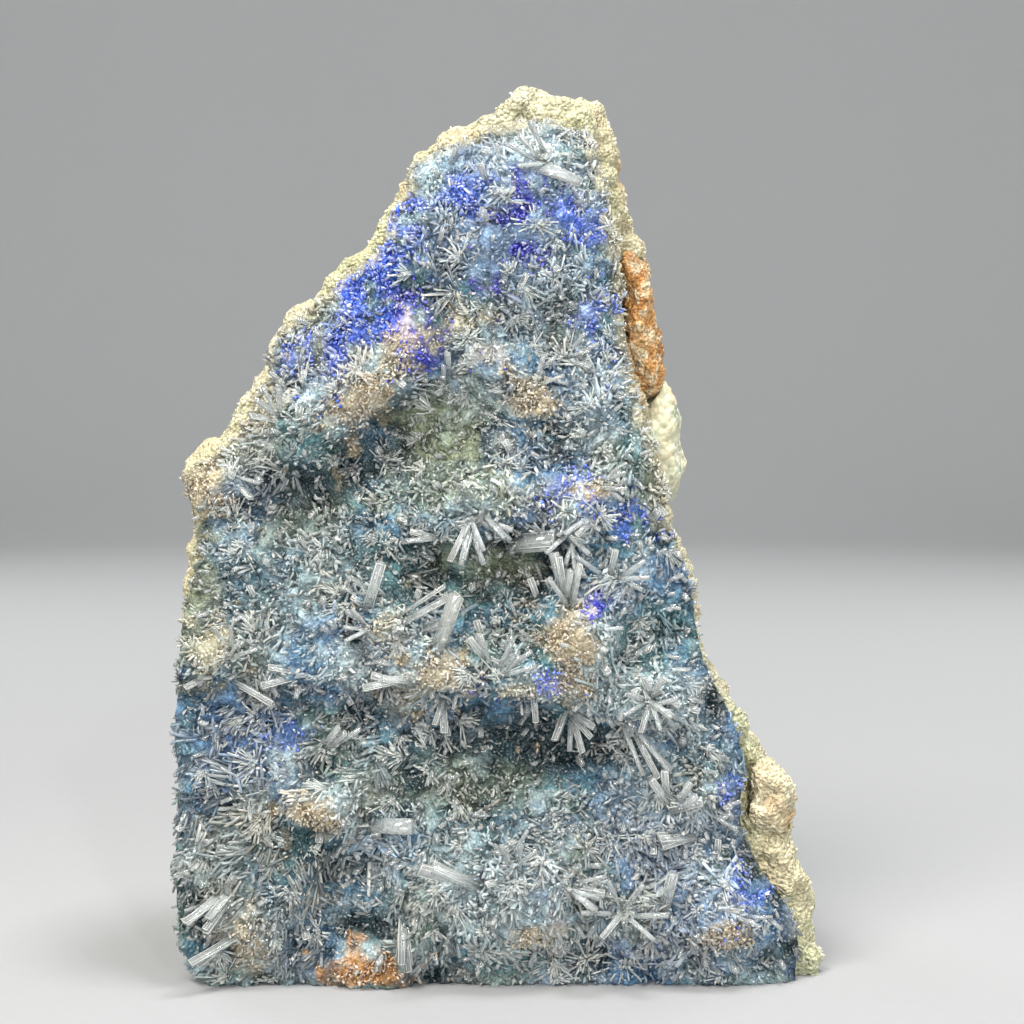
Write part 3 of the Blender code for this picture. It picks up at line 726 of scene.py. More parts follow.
@dataclass
class BedColours:
    """Gives every place on the crystal bed its colour and its share of needles.

    Args:
        relief: The bed's shape.
    """

    relief: BedRelief

    def ground(self, x: Array, z: Array) -> Array:
        """The bed's colours before any patch: drifts of teal, slate, olive, cream, ice and dark teal, with painted
        light that makes raised banks icier and painted shade that makes hollows darker.

        Args:
            x, z: The places in the face.

        Returns:
            Linear colours, shape (n, 3).
        """
        place = in_face(x, z)
        broad = clouds(place, 9.0, BED_SEED) + 0.6 * clouds(place, 3.2, BED_SEED + 1)
        fine = clouds(place, 1.1, BED_SEED + 2)
        stands = self.relief.prominence(x, z)
        colour = blended(Tint.TEAL.linear, Tint.SLATE_BLUE.linear, 0.45 + 0.8 * broad)
        for wash in GROUND_WASHES:
            colour = wash.over(colour, place)
        # Painted light: places that stand out of their surroundings turn icier, on top of random drifts.
        icy = 0.6 * stands + 0.4 * fine + 0.8 * clouds(place, 5.0, BED_SEED + 3) - 0.02
        colour = blended(colour, Tint.ICE.linear, icy)
        # Painted shade: hollows turn dark teal, on top of random drifts.
        deep = 1.1 * clouds(place, 4.0, BED_SEED + 4) - 0.9 * stands - 0.04
        return blended(colour, Tint.DARK_TEAL.linear, deep)

    def at(self, x: Array, z: Array) -> Array:
        """Colours the bed, patches included.

        Args:
            x, z: The places in the face.

        Returns:
            Linear colours, shape (n, 3).
        """
        place = in_face(x, z)
        ragged = outline_noise(place)
        colour = self.ground(x, z)
        for patch in PATCHES.values():
            colour = blended(colour, patch.tint.linear, clumped(patch, patch.cover(x, z, ragged), place))
        strip = np.interp(z, [p[1] for p in reversed(RIGHT_STRIP)], [p[0] for p in reversed(RIGHT_STRIP)])
        pale = np.clip((x - strip + STRIP_WIDTH) / STRIP_WIDTH + 0.35 * ragged, 0, 1) * (z > STRIP_FOOT)
        colour = blended(colour, Tint.CREAM.linear, 0.8 * pale)
        edge = ring_distance(x, z, self.relief.border)
        rim = np.clip(1.2 - edge / BORDER_CREAM + 0.5 * ragged, 0, 1) * (z > BORDER_FOOT)
        return blended(colour, Tint.CREAM.linear, 0.75 * rim)

    def needles(self, x: Array, z: Array) -> Array:
        """The share of the usual growth of needles.

        Args:
            x, z: The places in the face.

        Returns:
            A share from 0 to 1 for each place.
        """
        share = np.ones_like(x)
        for patch in PATCHES.values():
            cover = patch.cover(x, z, np.zeros_like(x))
            share *= 1 - cover * (1 - patch.needles * (0.6 if patch.tint in BLUES else 1.0))
        return share


def shader_in(material: bpy.types.Material) -> bpy.types.ShaderNodeBsdfPrincipled:
    """The main shader of a new material."""
    material.use_nodes = True
    return material.node_tree.nodes["Principled BSDF"]


def tint_node(tree: bpy.types.NodeTree) -> bpy.types.NodeSocket:
    """The colour stored on the mesh's points."""
    node = tree.nodes.new("ShaderNodeAttribute")
    node.attribute_name = TINT
    return node.outputs["Color"]


def noise_node(tree: bpy.types.NodeTree, size: float) -> bpy.types.NodeSocket:
    """Adds soft noise that is fixed to the specimen.

    Args:
        tree: The material's nodes.
        size: How far across its features are, in millimetres.

    Returns:
        The noise, from 0 to 1.
    """
    place = tree.nodes.new("ShaderNodeTexCoord")
    noise = tree.nodes.new("ShaderNodeTexNoise")
    noise.inputs["Scale"].default_value = 1 / (size * MM)
    noise.inputs["Detail"].default_value = 1.0
    tree.links.new(place.outputs["Object"], noise.inputs["Vector"])
    return noise.outputs["Fac"]


# Most of a noise node's values lie between these.
NOISE_LOW, NOISE_HIGH = 0.25, 0.75


def mottled(
    tree: bpy.types.NodeTree, colour: bpy.types.NodeSocket, noise: bpy.types.NodeSocket, contrast: float
) -> bpy.types.NodeSocket:
    """Makes a colour darker and lighter with a noise.

    Args:
        tree: The material's nodes.
        colour: The colour.
        noise: The noise, from 0 to 1.
        contrast: How far it is darkened and lightened, as a share of its brightness.

    Returns:
        The mottled colour.
    """
    spread = tree.nodes.new("ShaderNodeMapRange")
    spread.inputs["From Min"].default_value = NOISE_LOW
    spread.inputs["From Max"].default_value = NOISE_HIGH
    spread.inputs["To Min"].default_value = 1 - contrast
    spread.inputs["To Max"].default_value = 1 + contrast
    tree.links.new(noise, spread.inputs["Value"])
    scale = tree.nodes.new("ShaderNodeVectorMath")
    scale.operation = "SCALE"
    tree.links.new(colour, scale.inputs[0])
    tree.links.new(spread.outputs["Result"], scale.inputs["Scale"])
    return scale.outputs["Vector"]


def grain_node(tree: bpy.types.NodeTree, size: float) -> bpy.types.NodeSocket:
    """Adds rounded grains that are fixed to the specimen.

    Args:
        tree: The material's nodes.
        size: How far apart they lie, in millimetres.

    Returns:
        How high the surface stands, from 0 to 1.
    """
    place = tree.nodes.new("ShaderNodeTexCoord")
    cells = tree.nodes.new("ShaderNodeTexVoronoi")
    cells.inputs["Scale"].default_value = 1 / (size * MM)
    tree.links.new(place.outputs["Object"], cells.inputs["Vector"])
    height = tree.nodes.new("ShaderNodeMath")
    height.operation = "SUBTRACT"
    height.inputs[0].default_value = 1.0
    tree.links.new(cells.outputs["Distance"], height.inputs[1])
    return height.outputs["Value"]


def bump_node(tree: bpy.types.NodeTree, height: bpy.types.NodeSocket, depth: float) -> bpy.types.NodeSocket:
    """Adds a fine relief.

    Args:
        tree: The material's nodes.
        height: How high the surface stands, from 0 to 1.
        depth: How deep the relief is, in millimetres.

    Returns:
        The normal, for a shader.
    """
    bump = tree.nodes.new("ShaderNodeBump")
    bump.inputs["Distance"].default_value = depth * MM
    bump.inputs["Strength"].default_value = 1.0
    tree.links.new(height, bump.inputs["Height"])
    return bump.outputs["Normal"]


# How much of the light spreads under a glowing surface, and how far its red, green and blue get.
GLOW_SHARE = 0.35
GLOW_REACH = (1.0, 0.9, 0.75)


@dataclass(frozen=True)
class TintedFinish:
    """A finish that takes its colour from the mesh's points and mottles it.

    Args:
        name: The material's name.
        roughness: How matt it is.
        grain: The size of its fine grain in millimetres.
        contrast: How far the grain darkens and lightens it.
        relief: How deep the grain's bump is, in millimetres.
        see_through: How much light passes through it, from 0 to 1.
        ior: Its refractive index.
        glow: How far light spreads under its surface, in millimetres.
    """

    name: str
    roughness: float
    grain: float
    contrast: float
    relief: float = 0.1
    see_through: float = 0.0
    ior: float = 1.5
    glow: float = 0.0

    def make(self) -> bpy.types.Material:
        """Builds the material.

        Returns:
            The material.
        """
        material = bpy.data.materials.new(self.name)
        shader = shader_in(material)
        tree = material.node_tree
        grain = noise_node(tree, self.grain)
        tree.links.new(mottled(tree, tint_node(tree), grain, self.contrast), shader.inputs["Base Color"])
        if self.relief:
            fine = grain_node(tree, self.grain)
            tree.links.new(bump_node(tree, fine, self.relief), shader.inputs["Normal"])
        shader.inputs["Roughness"].default_value = self.roughness
        shader.inputs["IOR"].default_value = self.ior
        shader.inputs["Transmission Weight"].default_value = self.see_through
        if self.glow:
            shader.inputs["Subsurface Weight"].default_value = GLOW_SHARE
            shader.inputs["Subsurface Radius"].default_value = GLOW_REACH
            shader.inputs["Subsurface Scale"].default_value = self.glow * MM
        return material


@dataclass(frozen=True)
class ClearCrystalFinish:
    """Clear, faintly blue crystal, which light passes through and loses a little of its red in.

    Args:
        name: The material's name.
        roughness: How frosted its faces are.
        see_through: How much light passes into it, from 0 to 1.
        veil: The size of the faint veils in it, in millimetres.
        contrast: How far the veils darken and lighten it.
        ior: Its refractive index.
        absorbs: How strongly it takes up light, per metre.
        stays: The colour that passes through it best.
    """

    name: str
    roughness: float = 0.03
    see_through: float = 0.72
    veil: float = 0.8
    contrast: float = 0.1
    ior: float = 1.53
    absorbs: float = 60.0
    stays: tuple[float, float, float] = (0.55, 0.78, 0.9)

    def make(self) -> bpy.types.Material:
        """Builds the material.

        Returns:
            The material.
        """
        material = bpy.data.materials.new(self.name)
        shader = shader_in(material)
        tree = material.node_tree
        veil = noise_node(tree, self.veil)
        tree.links.new(mottled(tree, tint_node(tree), veil, self.contrast), shader.inputs["Base Color"])
        shader.inputs["Roughness"].default_value = self.roughness
        shader.inputs["IOR"].default_value = self.ior
        shader.inputs["Transmission Weight"].default_value = self.see_through
        inner = tree.nodes.new("ShaderNodeVolumeAbsorption")
        inner.inputs["Color"].default_value = (*self.stays, 1)
        inner.inputs["Density"].default_value = self.absorbs
        tree.links.new(inner.outputs["Volume"], tree.nodes["Material Output"].inputs["Volume"])
        return material


CRYSTAL_BED = TintedFinish("crystal_bed", roughness=0.22, grain=0.5, contrast=0.35, relief=0.35)
NEEDLE = TintedFinish(
    "aragonite_needle", roughness=0.12, grain=0.9, contrast=0.12, relief=0.0, see_through=0.38, ior=1.53
)
# The finish of the thin white lines that paint highlights along the prisms' edges.
EDGE_HIGHLIGHT_FINISH = TintedFinish("painted_edge_highlight", roughness=0.12, grain=0.5, contrast=0.12, relief=0.0, see_through=0.3, ior=1.6)
GRAIN = TintedFinish("aragonite_grain", roughness=0.2, grain=0.6, contrast=0.25, relief=0.0, ior=1.55)
PRISM = ClearCrystalFinish("clear_aragonite")
HOST_ROCK = TintedFinish("cream_host_rock", roughness=0.7, grain=0.5, contrast=0.35, relief=0.6)
LIMONITE = TintedFinish("earthy_limonite", roughness=0.95, grain=0.5, contrast=0.4, relief=0.6)
CALCITE = TintedFinish("waxy_calcite", roughness=0.4, grain=0.9, contrast=0.18, relief=0.3, glow=1.6)


# The way that the broad faces of slabs mostly look, towards the key light, and how far they are rolled off it.
TOWARDS_LIGHT = (-0.25, -0.86, 0.45)
SLAB_ROLL = 0.35
# The corners of a slab in degrees. One with six sides also has a corner at each edge.
SLAB_CORNERS = (28.0, 152.0, 208.0, 332.0)


@dataclass
class Needles:
    """Needles as arrays, all with the same number of sides.

    Args:
        foot: Where each needle starts, shape (n, 3).
        way: The way each points, shape (n, 3), of length 1.
        length: How long each is.
        width: How thick each is.
        tint: Each one's linear colour, shape (n, 3).
        sides: How many faces run along each.
        flatness: How much thinner each is across than along.
        whitening: How far each one's colour turns white at its tip.
        seed: Sets the turn of each and the slant of its end.
        slant: How steep their ends are, as a share of their width.
        taper: How wide their ends are, as a share of their feet.
        slabs: Whether they are slabs with two broad faces that mostly face the light, with four or six sides.
        shine: How far the corners on one side turn white, a painted highlight along that edge.
    """

    foot: Array
    way: Array
    length: Array
    width: Array
    tint: Array
    sides: int = 4
    flatness: float = 0.7
    whitening: float = 0.15
    seed: int = 1
    slant: float = 0.6
    taper: float = 0.9
    slabs: bool = False
    shine: float = 0.0

    def corners(self) -> Array:
        """Places the corners round each needle.

        Returns:
            How far each corner lies from its needle's middle line, shape (n, sides, 3).
        """
        draw = np.random.default_rng(self.seed)
        count = len(self.foot)
        spare = np.where(np.abs(self.way[:, 2:3]) < 0.8, [[0.0, 0.0, 1.0]], [[1.0, 0.0, 0.0]])
        roll = draw.uniform(0, 2 * np.pi, count)
        if self.slabs:
            spare, roll = np.array([TOWARDS_LIGHT]), draw.normal(0, SLAB_ROLL, count)
        side = unit(np.cross(self.way, spare))
        across = np.cross(self.way, side)
        turned_side = side * np.cos(roll)[:, None] + across * np.sin(roll)[:, None]
        turned_across = across * np.cos(roll)[:, None] - side * np.sin(roll)[:, None]
        angle = self.angles()
        out = turned_side[:, None] * np.cos(angle)[None, :, None]
        out += self.flatness * turned_across[:, None] * np.sin(angle)[None, :, None]
        return out * self.width[:, None, None] / 2

    def angles(self) -> Array:
        """The angle of each corner about the needle's middle line."""
        if self.slabs:
            return np.radians(sorted((0.0, 180.0, *SLAB_CORNERS)) if self.sides == 6 else SLAB_CORNERS)
        return 2 * np.pi * (np.arange(self.sides) + 0.5) / self.sides

    def mesh(self, name: str) -> bpy.types.Mesh:
        """Joins all the needles in one mesh, each closed and with a flat slanting end.

        Args:
            name: The mesh's name.

        Returns:
            The mesh.
        """
        draw = np.random.default_rng(self.seed + 100)
        count, sides = len(self.foot), self.sides
        out, angle = self.corners(), self.angles()
        slant = draw.uniform(-self.slant, self.slant, (count, 1)) * np.cos(angle)[None]
        slant += draw.uniform(-self.slant, self.slant, (count, 1)) * np.sin(angle)[None]
        reach = self.length[:, None] + slant * self.width[:, None]
        low = self.foot[:, None] + out
        high = self.foot[:, None] + out * self.taper + self.way[:, None] * reach[..., None]
        points = np.concatenate([low, high], axis=1).reshape(-1, 3)
        first = np.arange(count)[:, None, None] * 2 * sides
        ring = np.arange(sides)
        after = (ring + 1) % sides
        wall = np.stack([ring, after, sides + after, sides + ring], axis=1)
        walls = (first + wall[None]).reshape(-1, 4)
        foot_face = (first[:, 0] + ring[::-1][None]).reshape(-1, sides)
        tip_face = (first[:, 0] + sides + ring[None]).reshape(-1, sides)
        pale = blended(self.tint, Tint.WHITE.linear, self.whitening * draw.uniform(0, 2, count))
        tints = np.concatenate([np.repeat(self.tint[:, None], sides, 1), np.repeat(pale[:, None], sides, 1)], 1)
        # Painted highlight: the corners on one side of each needle turn white, as though that edge caught the
        # light.
        if self.shine:
            bright = np.tile(np.cos(angle) > 0, 2)[None, :, None] * self.shine * draw.uniform(0.3, 1, (count, 1, 1))
            tints = tints + (Tint.WHITE.linear - tints) * bright
        return mesh_from(name, points, [walls, foot_face, tip_face], tints.reshape(-1, 3))

    def where(self, keep: Array) -> "Needles":
        """The needles for which keep is true."""
        picked = {name: getattr(self, name)[keep] for name in ("foot", "way", "length", "width", "tint")}
        return replace(self, **picked)


# The place in the face that the crystals lean away from, how near it they stand upright, and how much further out
# they lean fully. Above it they lean less.
MIDDLE = (7.4, 57.6)
UPRIGHT_WITHIN = 16
LEANING_AFTER = 34
LEAN_ABOVE = 0.45
# The corner of the lower left where the needles lie in streaks, and how far each way that takes to set in.
STREAK_CORNER = (-6, 42)
STREAK_FADE = (14, 12)


def lean_outwards(normal: Array, x: Array, z: Array) -> Array:
    """The way crystals grow at each place: off the bed, and away from the plate's middle near its foot.

    Args:
        normal: The way the bed faces, shape (n, 3).
        x, z: The places in the face.

    Returns:
        Directions of length 1, shape (n, 3).
    """
    away = np.stack([x - MIDDLE[0], np.zeros_like(x), z - MIDDLE[1]], axis=1)
    far = np.linalg.norm(away, axis=1)
    pull = np.clip((far - UPRIGHT_WITHIN) / LEANING_AFTER, 0, 1.15) * np.where(z < MIDDLE[1], 1.0, LEAN_ABOVE)
    pull = pull * (1 + 0.9 * streaked(x, z))
    return unit(normal + away / np.maximum(far, 1)[:, None] * pull[:, None])


def streaked(x: Array, z: Array) -> Array:
    """How far the needles lie in parallel streaks, as they do in the lower left, from 0 to 1."""
    left = np.clip((STREAK_CORNER[0] - x) / STREAK_FADE[0], 0, 1)
    return left * np.clip((STREAK_CORNER[1] - z) / STREAK_FADE[1], 0, 1)


@dataclass
class Growth:
    """A part of the druse.

    Args:
        relief: The shape of the bed.
        colours: The colours of the bed.
    """

    relief: BedRelief
    colours: BedColours


@dataclass
class CrystalBed(Growth):
    """The bed that the needles grow from: granular, with knobs, ledges and hollows.

    Args:
        spacing: The distance between its points.
        wall_rows: How many rows of faces its side walls have.
        jitter: How far the points are moved off even rows, as a share of their spacing.
        facet: The size of the crystal faces that show between the needles.
        facet_height: How high they stand.
        grain_height: How high the grains on the knobs stand.
        fine_height: How high the fine grains on the knobs stand.
        lump_height: How high the lumps of the side walls stand.
    """

    spacing: float = 0.34
    wall_rows: int = 9
    jitter: float = 0.22
    facet: float = 1.7
    facet_height: float = 1.6
    grain_height: float = 0.7
    fine_height: float = 0.35
    lump_height: float = 0.7

    def outwards(self, ring: Array) -> Array:
        """Finds the way out of the plate at each point of its border.

        Args:
            ring: The border's points, shape (n, 2).

        Returns:
            Directions in the face of length 1, shape (n, 2).
        """
        along = np.roll(ring, -1, axis=0) - np.roll(ring, 1, axis=0)
        out = np.stack([along[:, 1], -along[:, 0]], axis=1)
        middle = ring.mean(axis=0)
        turned = np.sign(((ring - middle) * out).sum())
        return turned * out / np.maximum(np.linalg.norm(out, axis=1), 1e-9)[:, None]

    def ring(self) -> Array:
        """Divides the bed's border.

        Returns:
            Its points at the bed's own spacing, shape (n, 2).
        """
        points = []
        border = self.relief.border
        for start, end in zip(border, np.roll(border, -1, axis=0)):
            pieces = max(1, round(float(np.linalg.norm(end - start)) / self.spacing))
            points += [start + (end - start) * i / pieces for i in range(pieces)]
        return np.array(points)

    def lattice(self, ring: Array) -> Array:
        """Spreads points over the inside of the border, in staggered rows.

        Args:
            ring: The border's points, shape (n, 2).

        Returns:
            The points, shape (m, 2).
        """
        draw = np.random.default_rng(3)
        low, high = ring.min(axis=0), ring.max(axis=0)
        rows = []
        for k, z in enumerate(np.arange(low[1], high[1], self.spacing * math.sqrt(3) / 2)):
            xs = np.arange(low[0] + (k % 2) * self.spacing / 2, high[0], self.spacing)
            rows.append(np.column_stack([xs, np.full(len(xs), z)]))
        points = np.concatenate(rows)
        points += draw.uniform(-self.jitter, self.jitter, points.shape) * self.spacing
        points = points[inside_ring(points[:, 0], points[:, 1], ring)]
        return points[ring_distance(points[:, 0], points[:, 1], self.relief.border) > 0.5 * self.spacing]

    def surface(self, x: Array, z: Array) -> Array:
        """Raises the bed's knobs, grains and crystal faces.

        Args:
            x, z: The places in the face.

        Returns:
            y of the bed at each place.
        """
        place = np.stack([x, self.relief.bed(x, z), z], axis=1)
        grain, _ = pebbles(place, 1.5, BED_SEED + 30)
        fine, _ = pebbles(place, 0.75, BED_SEED + 31)
        face, _ = facets(place, self.facet, BED_SEED + 35)
        knobs = 1 - self.colours.needles(x, z)
        relief = 0.35 * clouds(place, 2.6, BED_SEED + 32) + self.grain_height * knobs * (grain - 0.6)
        relief += self.facet_height * (1 - 0.6 * knobs) * (face - 0.22) + self.fine_height * knobs * (fine - 0.6)
        lift = relief + knobs * 0.6 * self.relief.cover(x, z)
        return np.minimum(place[:, 1] - lift, self.relief.look_up(self.relief.back, x, z) - 0.4)

    def triangles(self, flat: Array, count: int) -> Array:
        """Joins points in the face by triangles.

        Args:
            flat: The points, shape (n, 2).
            count: How many of them, from the first, are the border.

        Returns:
            The triangles' corners, shape (m, 3).
        """
        found = delaunay_2d_cdt([Vector(p) for p in flat], [], [list(range(count))], 1, 1e-6)
        return np.array([origin[0] for origin in found[3]])[np.array(found[2])]

    def wall(self, edge: Array) -> Array:
        """Shapes the lumpy side wall, from the front's edge to the flat back.

        Args:
            edge: The front's edge, shape (n, 3).

        Returns:
            Rows of points, from the one behind the edge to the back's own, shape (n * rows, 3).
        """
        ring = edge[:, [0, 2]]
        back = self.relief.look_up(self.relief.back, ring[:, 0], ring[:, 1])
        out = self.outwards(ring)
        rows = []
        for k in range(1, self.wall_rows + 1):
            depth = edge[:, 1] + (back - edge[:, 1]) * k / self.wall_rows
            row = np.column_stack([ring[:, 0], depth, ring[:, 1]])
            lump, _ = pebbles(row, 1.0, BED_SEED + 33)
            push = np.where((ring[:, 1] > 0.4) & (k < self.wall_rows), self.lump_height * (lump - 0.7), 0.0)
            row[:, [0, 2]] += out * push[:, None]
            rows.append(row)
        return np.concatenate(rows)

    def build(self) -> None:
        """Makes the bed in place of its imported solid."""
        ring = self.ring()
        flat = np.concatenate([ring, self.lattice(ring)])
        count = len(ring)
        front_faces, back_faces = self.triangles(flat, count), self.triangles(ring, count)
        front = np.column_stack([flat[:, 0], self.surface(flat[:, 0], flat[:, 1]), flat[:, 1]])
        points = np.concatenate([front, self.wall(front[:count])])
        here = np.arange(count)
        after = (here + 1) % count
        starts = [0] + [len(front) + k * count for k in range(self.wall_rows)]
        wall = np.concatenate(
            [np.stack([a + here, a + after, b + after, b + here], axis=1) for a, b in zip(starts, starts[1:])]
        )
        tints = self.colours.at(points[:, 0], points[:, 2])
        _, face = facets(points, self.facet, BED_SEED + 35)
        tints = tints * np.clip(0.36 + 0.55 * face, 0.25, 0.9)[:, None]
        mesh = mesh_from("crystal_bed", points, [front_faces, starts[-1] + back_faces, wall], tints)
        outward(mesh)
        bed = new_piece("crystal_bed", mesh, CRYSTAL_BED.make(), "aragonite")
        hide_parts("aragonite_crust")


def outward(mesh: bpy.types.Mesh) -> None:
    """Turns every face of a closed mesh to face outwards."""
    shaped = bmesh.new()
    shaped.from_mesh(mesh)
    bmesh.ops.recalc_face_normals(shaped, faces=shaped.faces)
    shaped.to_mesh(mesh)
    shaped.free()


# How far the needles may reach past the border of the bed.
OVERHANG = 0.8
# Where the druse is parted: the foot of its upper part, the top of its lower part, and that one's middle.
UPPER_FOOT = 70
LOWER_TOP = 37
LOWER_MIDDLE = -4


class Region(Enum):
    """The parts of the druse that its needles are joined by."""

    UPPER = "upper"
    MIDDLE = "middle"
    LOWER_LEFT = "lower_left"
    LOWER_RIGHT = "lower_right"

    def holds(self, x: Array, z: Array) -> Array:
        """Which places lie in the region.

        Args:
            x, z: The places in the face.

        Returns:
            True for each place in it.
        """
        if self is Region.UPPER:
            return z > UPPER_FOOT
        if self is Region.MIDDLE:
            return (z <= UPPER_FOOT) & (z > LOWER_TOP)
        left = x < LOWER_MIDDLE
        return (z <= LOWER_TOP) & (left if self is Region.LOWER_LEFT else ~left)


@dataclass
class NeedleDruse(Growth):
    """The needles: in bursts that radiate from many roots, with short felt between them and stars on top.

    Args:
        burst_spacing: The distance between the roots of bursts.
        needles_per_burst: How many needles a burst of middling size has.
        felt_count: How many short needles stand between the bursts.
        star_share: How many of the bursts have a bright star on top.
        burst_sizes: The least and greatest length of the needles in a burst.
        needle_widths: The least and greatest width of the needles in a burst.
        felt_lengths: The range of the felt's lengths.
        felt_widths: The range of the felt's widths.
        star_needles: The range of how many needles a star has.
        star_lengths: The range of the stars' reach.
        star_widths: The range of the stars' widths.
        rooted: How deep in the bed the needles of a burst start.
        proud: How far tips may stand out past the surface that the solid's front stands for.
    """

    burst_spacing: float = 2.1
    needles_per_burst: float = 17.0
    felt_count: int = 8000
    star_share: float = 0.1
    burst_sizes: tuple[float, float] = (0.6, 4.2)
    needle_widths: tuple[float, float] = (0.15, 0.62)
    felt_lengths: tuple[float, float] = (0.9, 2.2)
    felt_widths: tuple[float, float] = (0.22, 0.62)
    star_needles: tuple[int, int] = (22, 60)
    star_lengths: tuple[float, float] = (2.2, 4.6)
    star_widths: tuple[float, float] = (0.15, 0.34)
    rooted: float = 0.35
    proud: float = 0.35

    def roots(self, draw: np.random.Generator) -> Array:
        """Strews the roots of the bursts over the face.

        Args:
            draw: The random draws.

        Returns:
            The roots, shape (n, 2).
        """
        border = self.relief.border
        low, high = border.min(axis=0), border.max(axis=0)
        xs = np.arange(low[0], high[0], self.burst_spacing)
        zs = np.arange(low[1], high[1], self.burst_spacing * 0.87)
        grid = np.stack(np.meshgrid(xs, zs, indexing="ij"), axis=-1).reshape(-1, 2)
        grid += draw.uniform(-0.5, 0.5, grid.shape) * self.burst_spacing
        return grid[inside_ring(grid[:, 0], grid[:, 1], border) & (grid[:, 1] > 0.6)]

    def within_reach(self, foot: Array, way: Array, length: Array) -> Array:
        """Cuts the needles that would stand out too far past the solid's front, or past its border.

        Args:
            foot, way: Where each needle starts and the way it points, shape (n, 3).
            length: How long each would be.

        Returns:
            How long each is.
        """
        for _ in range(3):
            tip = foot + way * length[:, None]
            over = self.relief.tips(tip[:, 0], tip[:, 2]) - self.proud - tip[:, 1]
            forward = np.maximum(-way[:, 1], 0.15)
            length = np.where(over > 0, np.maximum(length - over / forward, 0.3 * length), length)
            length = np.where(self.past_border(foot + way * length[:, None]) > OVERHANG, 0.6 * length, length)
        return length

    def past_border(self, tip: Array) -> Array:
        """Measures how far tips lie outside the border.

        Args:
            tip: The tips, shape (n, 3).

        Returns:
            Each one's distance from the border in the face, and 0 inside it.
        """
        outside = ~inside_ring(tip[:, 0], tip[:, 2], self.relief.border)
        past = np.zeros(len(tip))
        past[outside] = ring_distance(tip[outside, 0], tip[outside, 2], self.relief.border)
        return past

    def kept(self, foot: Array, way: Array, length: Array) -> Array:
        """Picks the needles that end over the bed, stand out of it and are clear of the floor.

        Args:
            foot, way: Where each needle starts and the way it points, shape (n, 3).
            length: How long each is.

        Returns:
            True for each needle that stays.
        """
        tip = foot + way * length[:, None]
        past = self.past_border(tip)
        proud = self.relief.bed(tip[:, 0], tip[:, 2]) - tip[:, 1]
        clear = (past < 1.2 * OVERHANG) & (tip[:, 2] > 0.35) & (foot[:, 2] > 0.3)
        return clear & ((proud > 0.1) | (past > 0))

    def coloured(self, x: Array, z: Array, draw: np.random.Generator, paleness: float) -> Array:
        """Colours needles, each a little unlike its neighbours, with painted light that makes those on raised
        places paler and frostier and painted shade that darkens those in hollows.

        Args:
            x, z: The places of their roots in the face.
            draw: The random draws.
            paleness: How many of them are frosted.

        Returns:
            Linear colours, shape (n, 3).
        """
        tint = self.colours.at(x, z) * draw.lognormal(-0.12, 0.2, (len(x), 1))
        # Painted light and shade: needles that stand out of their surroundings are lighter and frostier, those in
        # hollows darker, on top of random drifts.
        stands = self.relief.prominence(x, z) + 0.9 * clouds(in_face(x, z), 2.4, BED_SEED + 11)
        tint = tint * np.exp(0.3 * stands)[:, None]
        tint = blended(tint, self.hoar(x, z), np.clip(0.22 * stands, 0, 0.4))
        kind = draw.random(len(x))
        frosted = np.where(kind < paleness, draw.uniform(0.25, 0.75, len(x)), draw.uniform(0, 0.2, len(x)))
        frost = 0.5 * self.hoar(x, z) + 0.5 * np.clip(1.8 * tint + 0.05, 0, 0.9)
        tint = tint + (frost - tint) * frosted[:, None]
        return blended(tint, Tint.WHITE.linear, np.where(kind < 0.3 * paleness, draw.uniform(0.5, 1, len(x)), 0))

    def hoar(self, x: Array, z: Array) -> Array:
        """The colour of the frost at each place, from icy to cream."""
        warmth = 0.4 + 1.1 * clouds(in_face(x, z), 4.5, BED_SEED + 9)
        return blended(Tint.COOL_FROST.linear, Tint.WARM_FROST.linear, warmth)

    def burst_ways(self, draw: np.random.Generator, root: Array, normal: Array, owner: Array) -> Array:
        """Turns the needles of the bursts, which spread about the way that each burst leans.

        Args:
            draw: The random draws.
            root: The bursts' roots, shape (n, 2).
            normal: The way the bed faces at each root, shape (n, 3).
            owner: The burst that each needle belongs to.

        Returns:
            The way each needle points, of length 1.
        """
        lean = lean_outwards(normal, root[:, 0], root[:, 1])
        lean = unit(lean + 0.85 * draw.normal(size=normal.shape) * [1, 0.3, 1])
        spread = unit(draw.normal(size=(len(owner), 3)))
        tight = draw.uniform(0.5, 2.8, len(root)) * (1 + 1.3 * streaked(root[:, 0], root[:, 1]))
        way = unit(lean[owner] * (tight[owner] * draw.uniform(0.7, 1.3, len(owner)))[:, None] + spread)
        way = unit(way - 0.3 * (way * normal[owner]).sum(axis=1)[:, None] * normal[owner])
        facing = (way * normal[owner]).sum(axis=1)
        return unit(np.where(facing[:, None] < 0.08, way + normal[owner] * (0.2 - facing)[:, None], way))

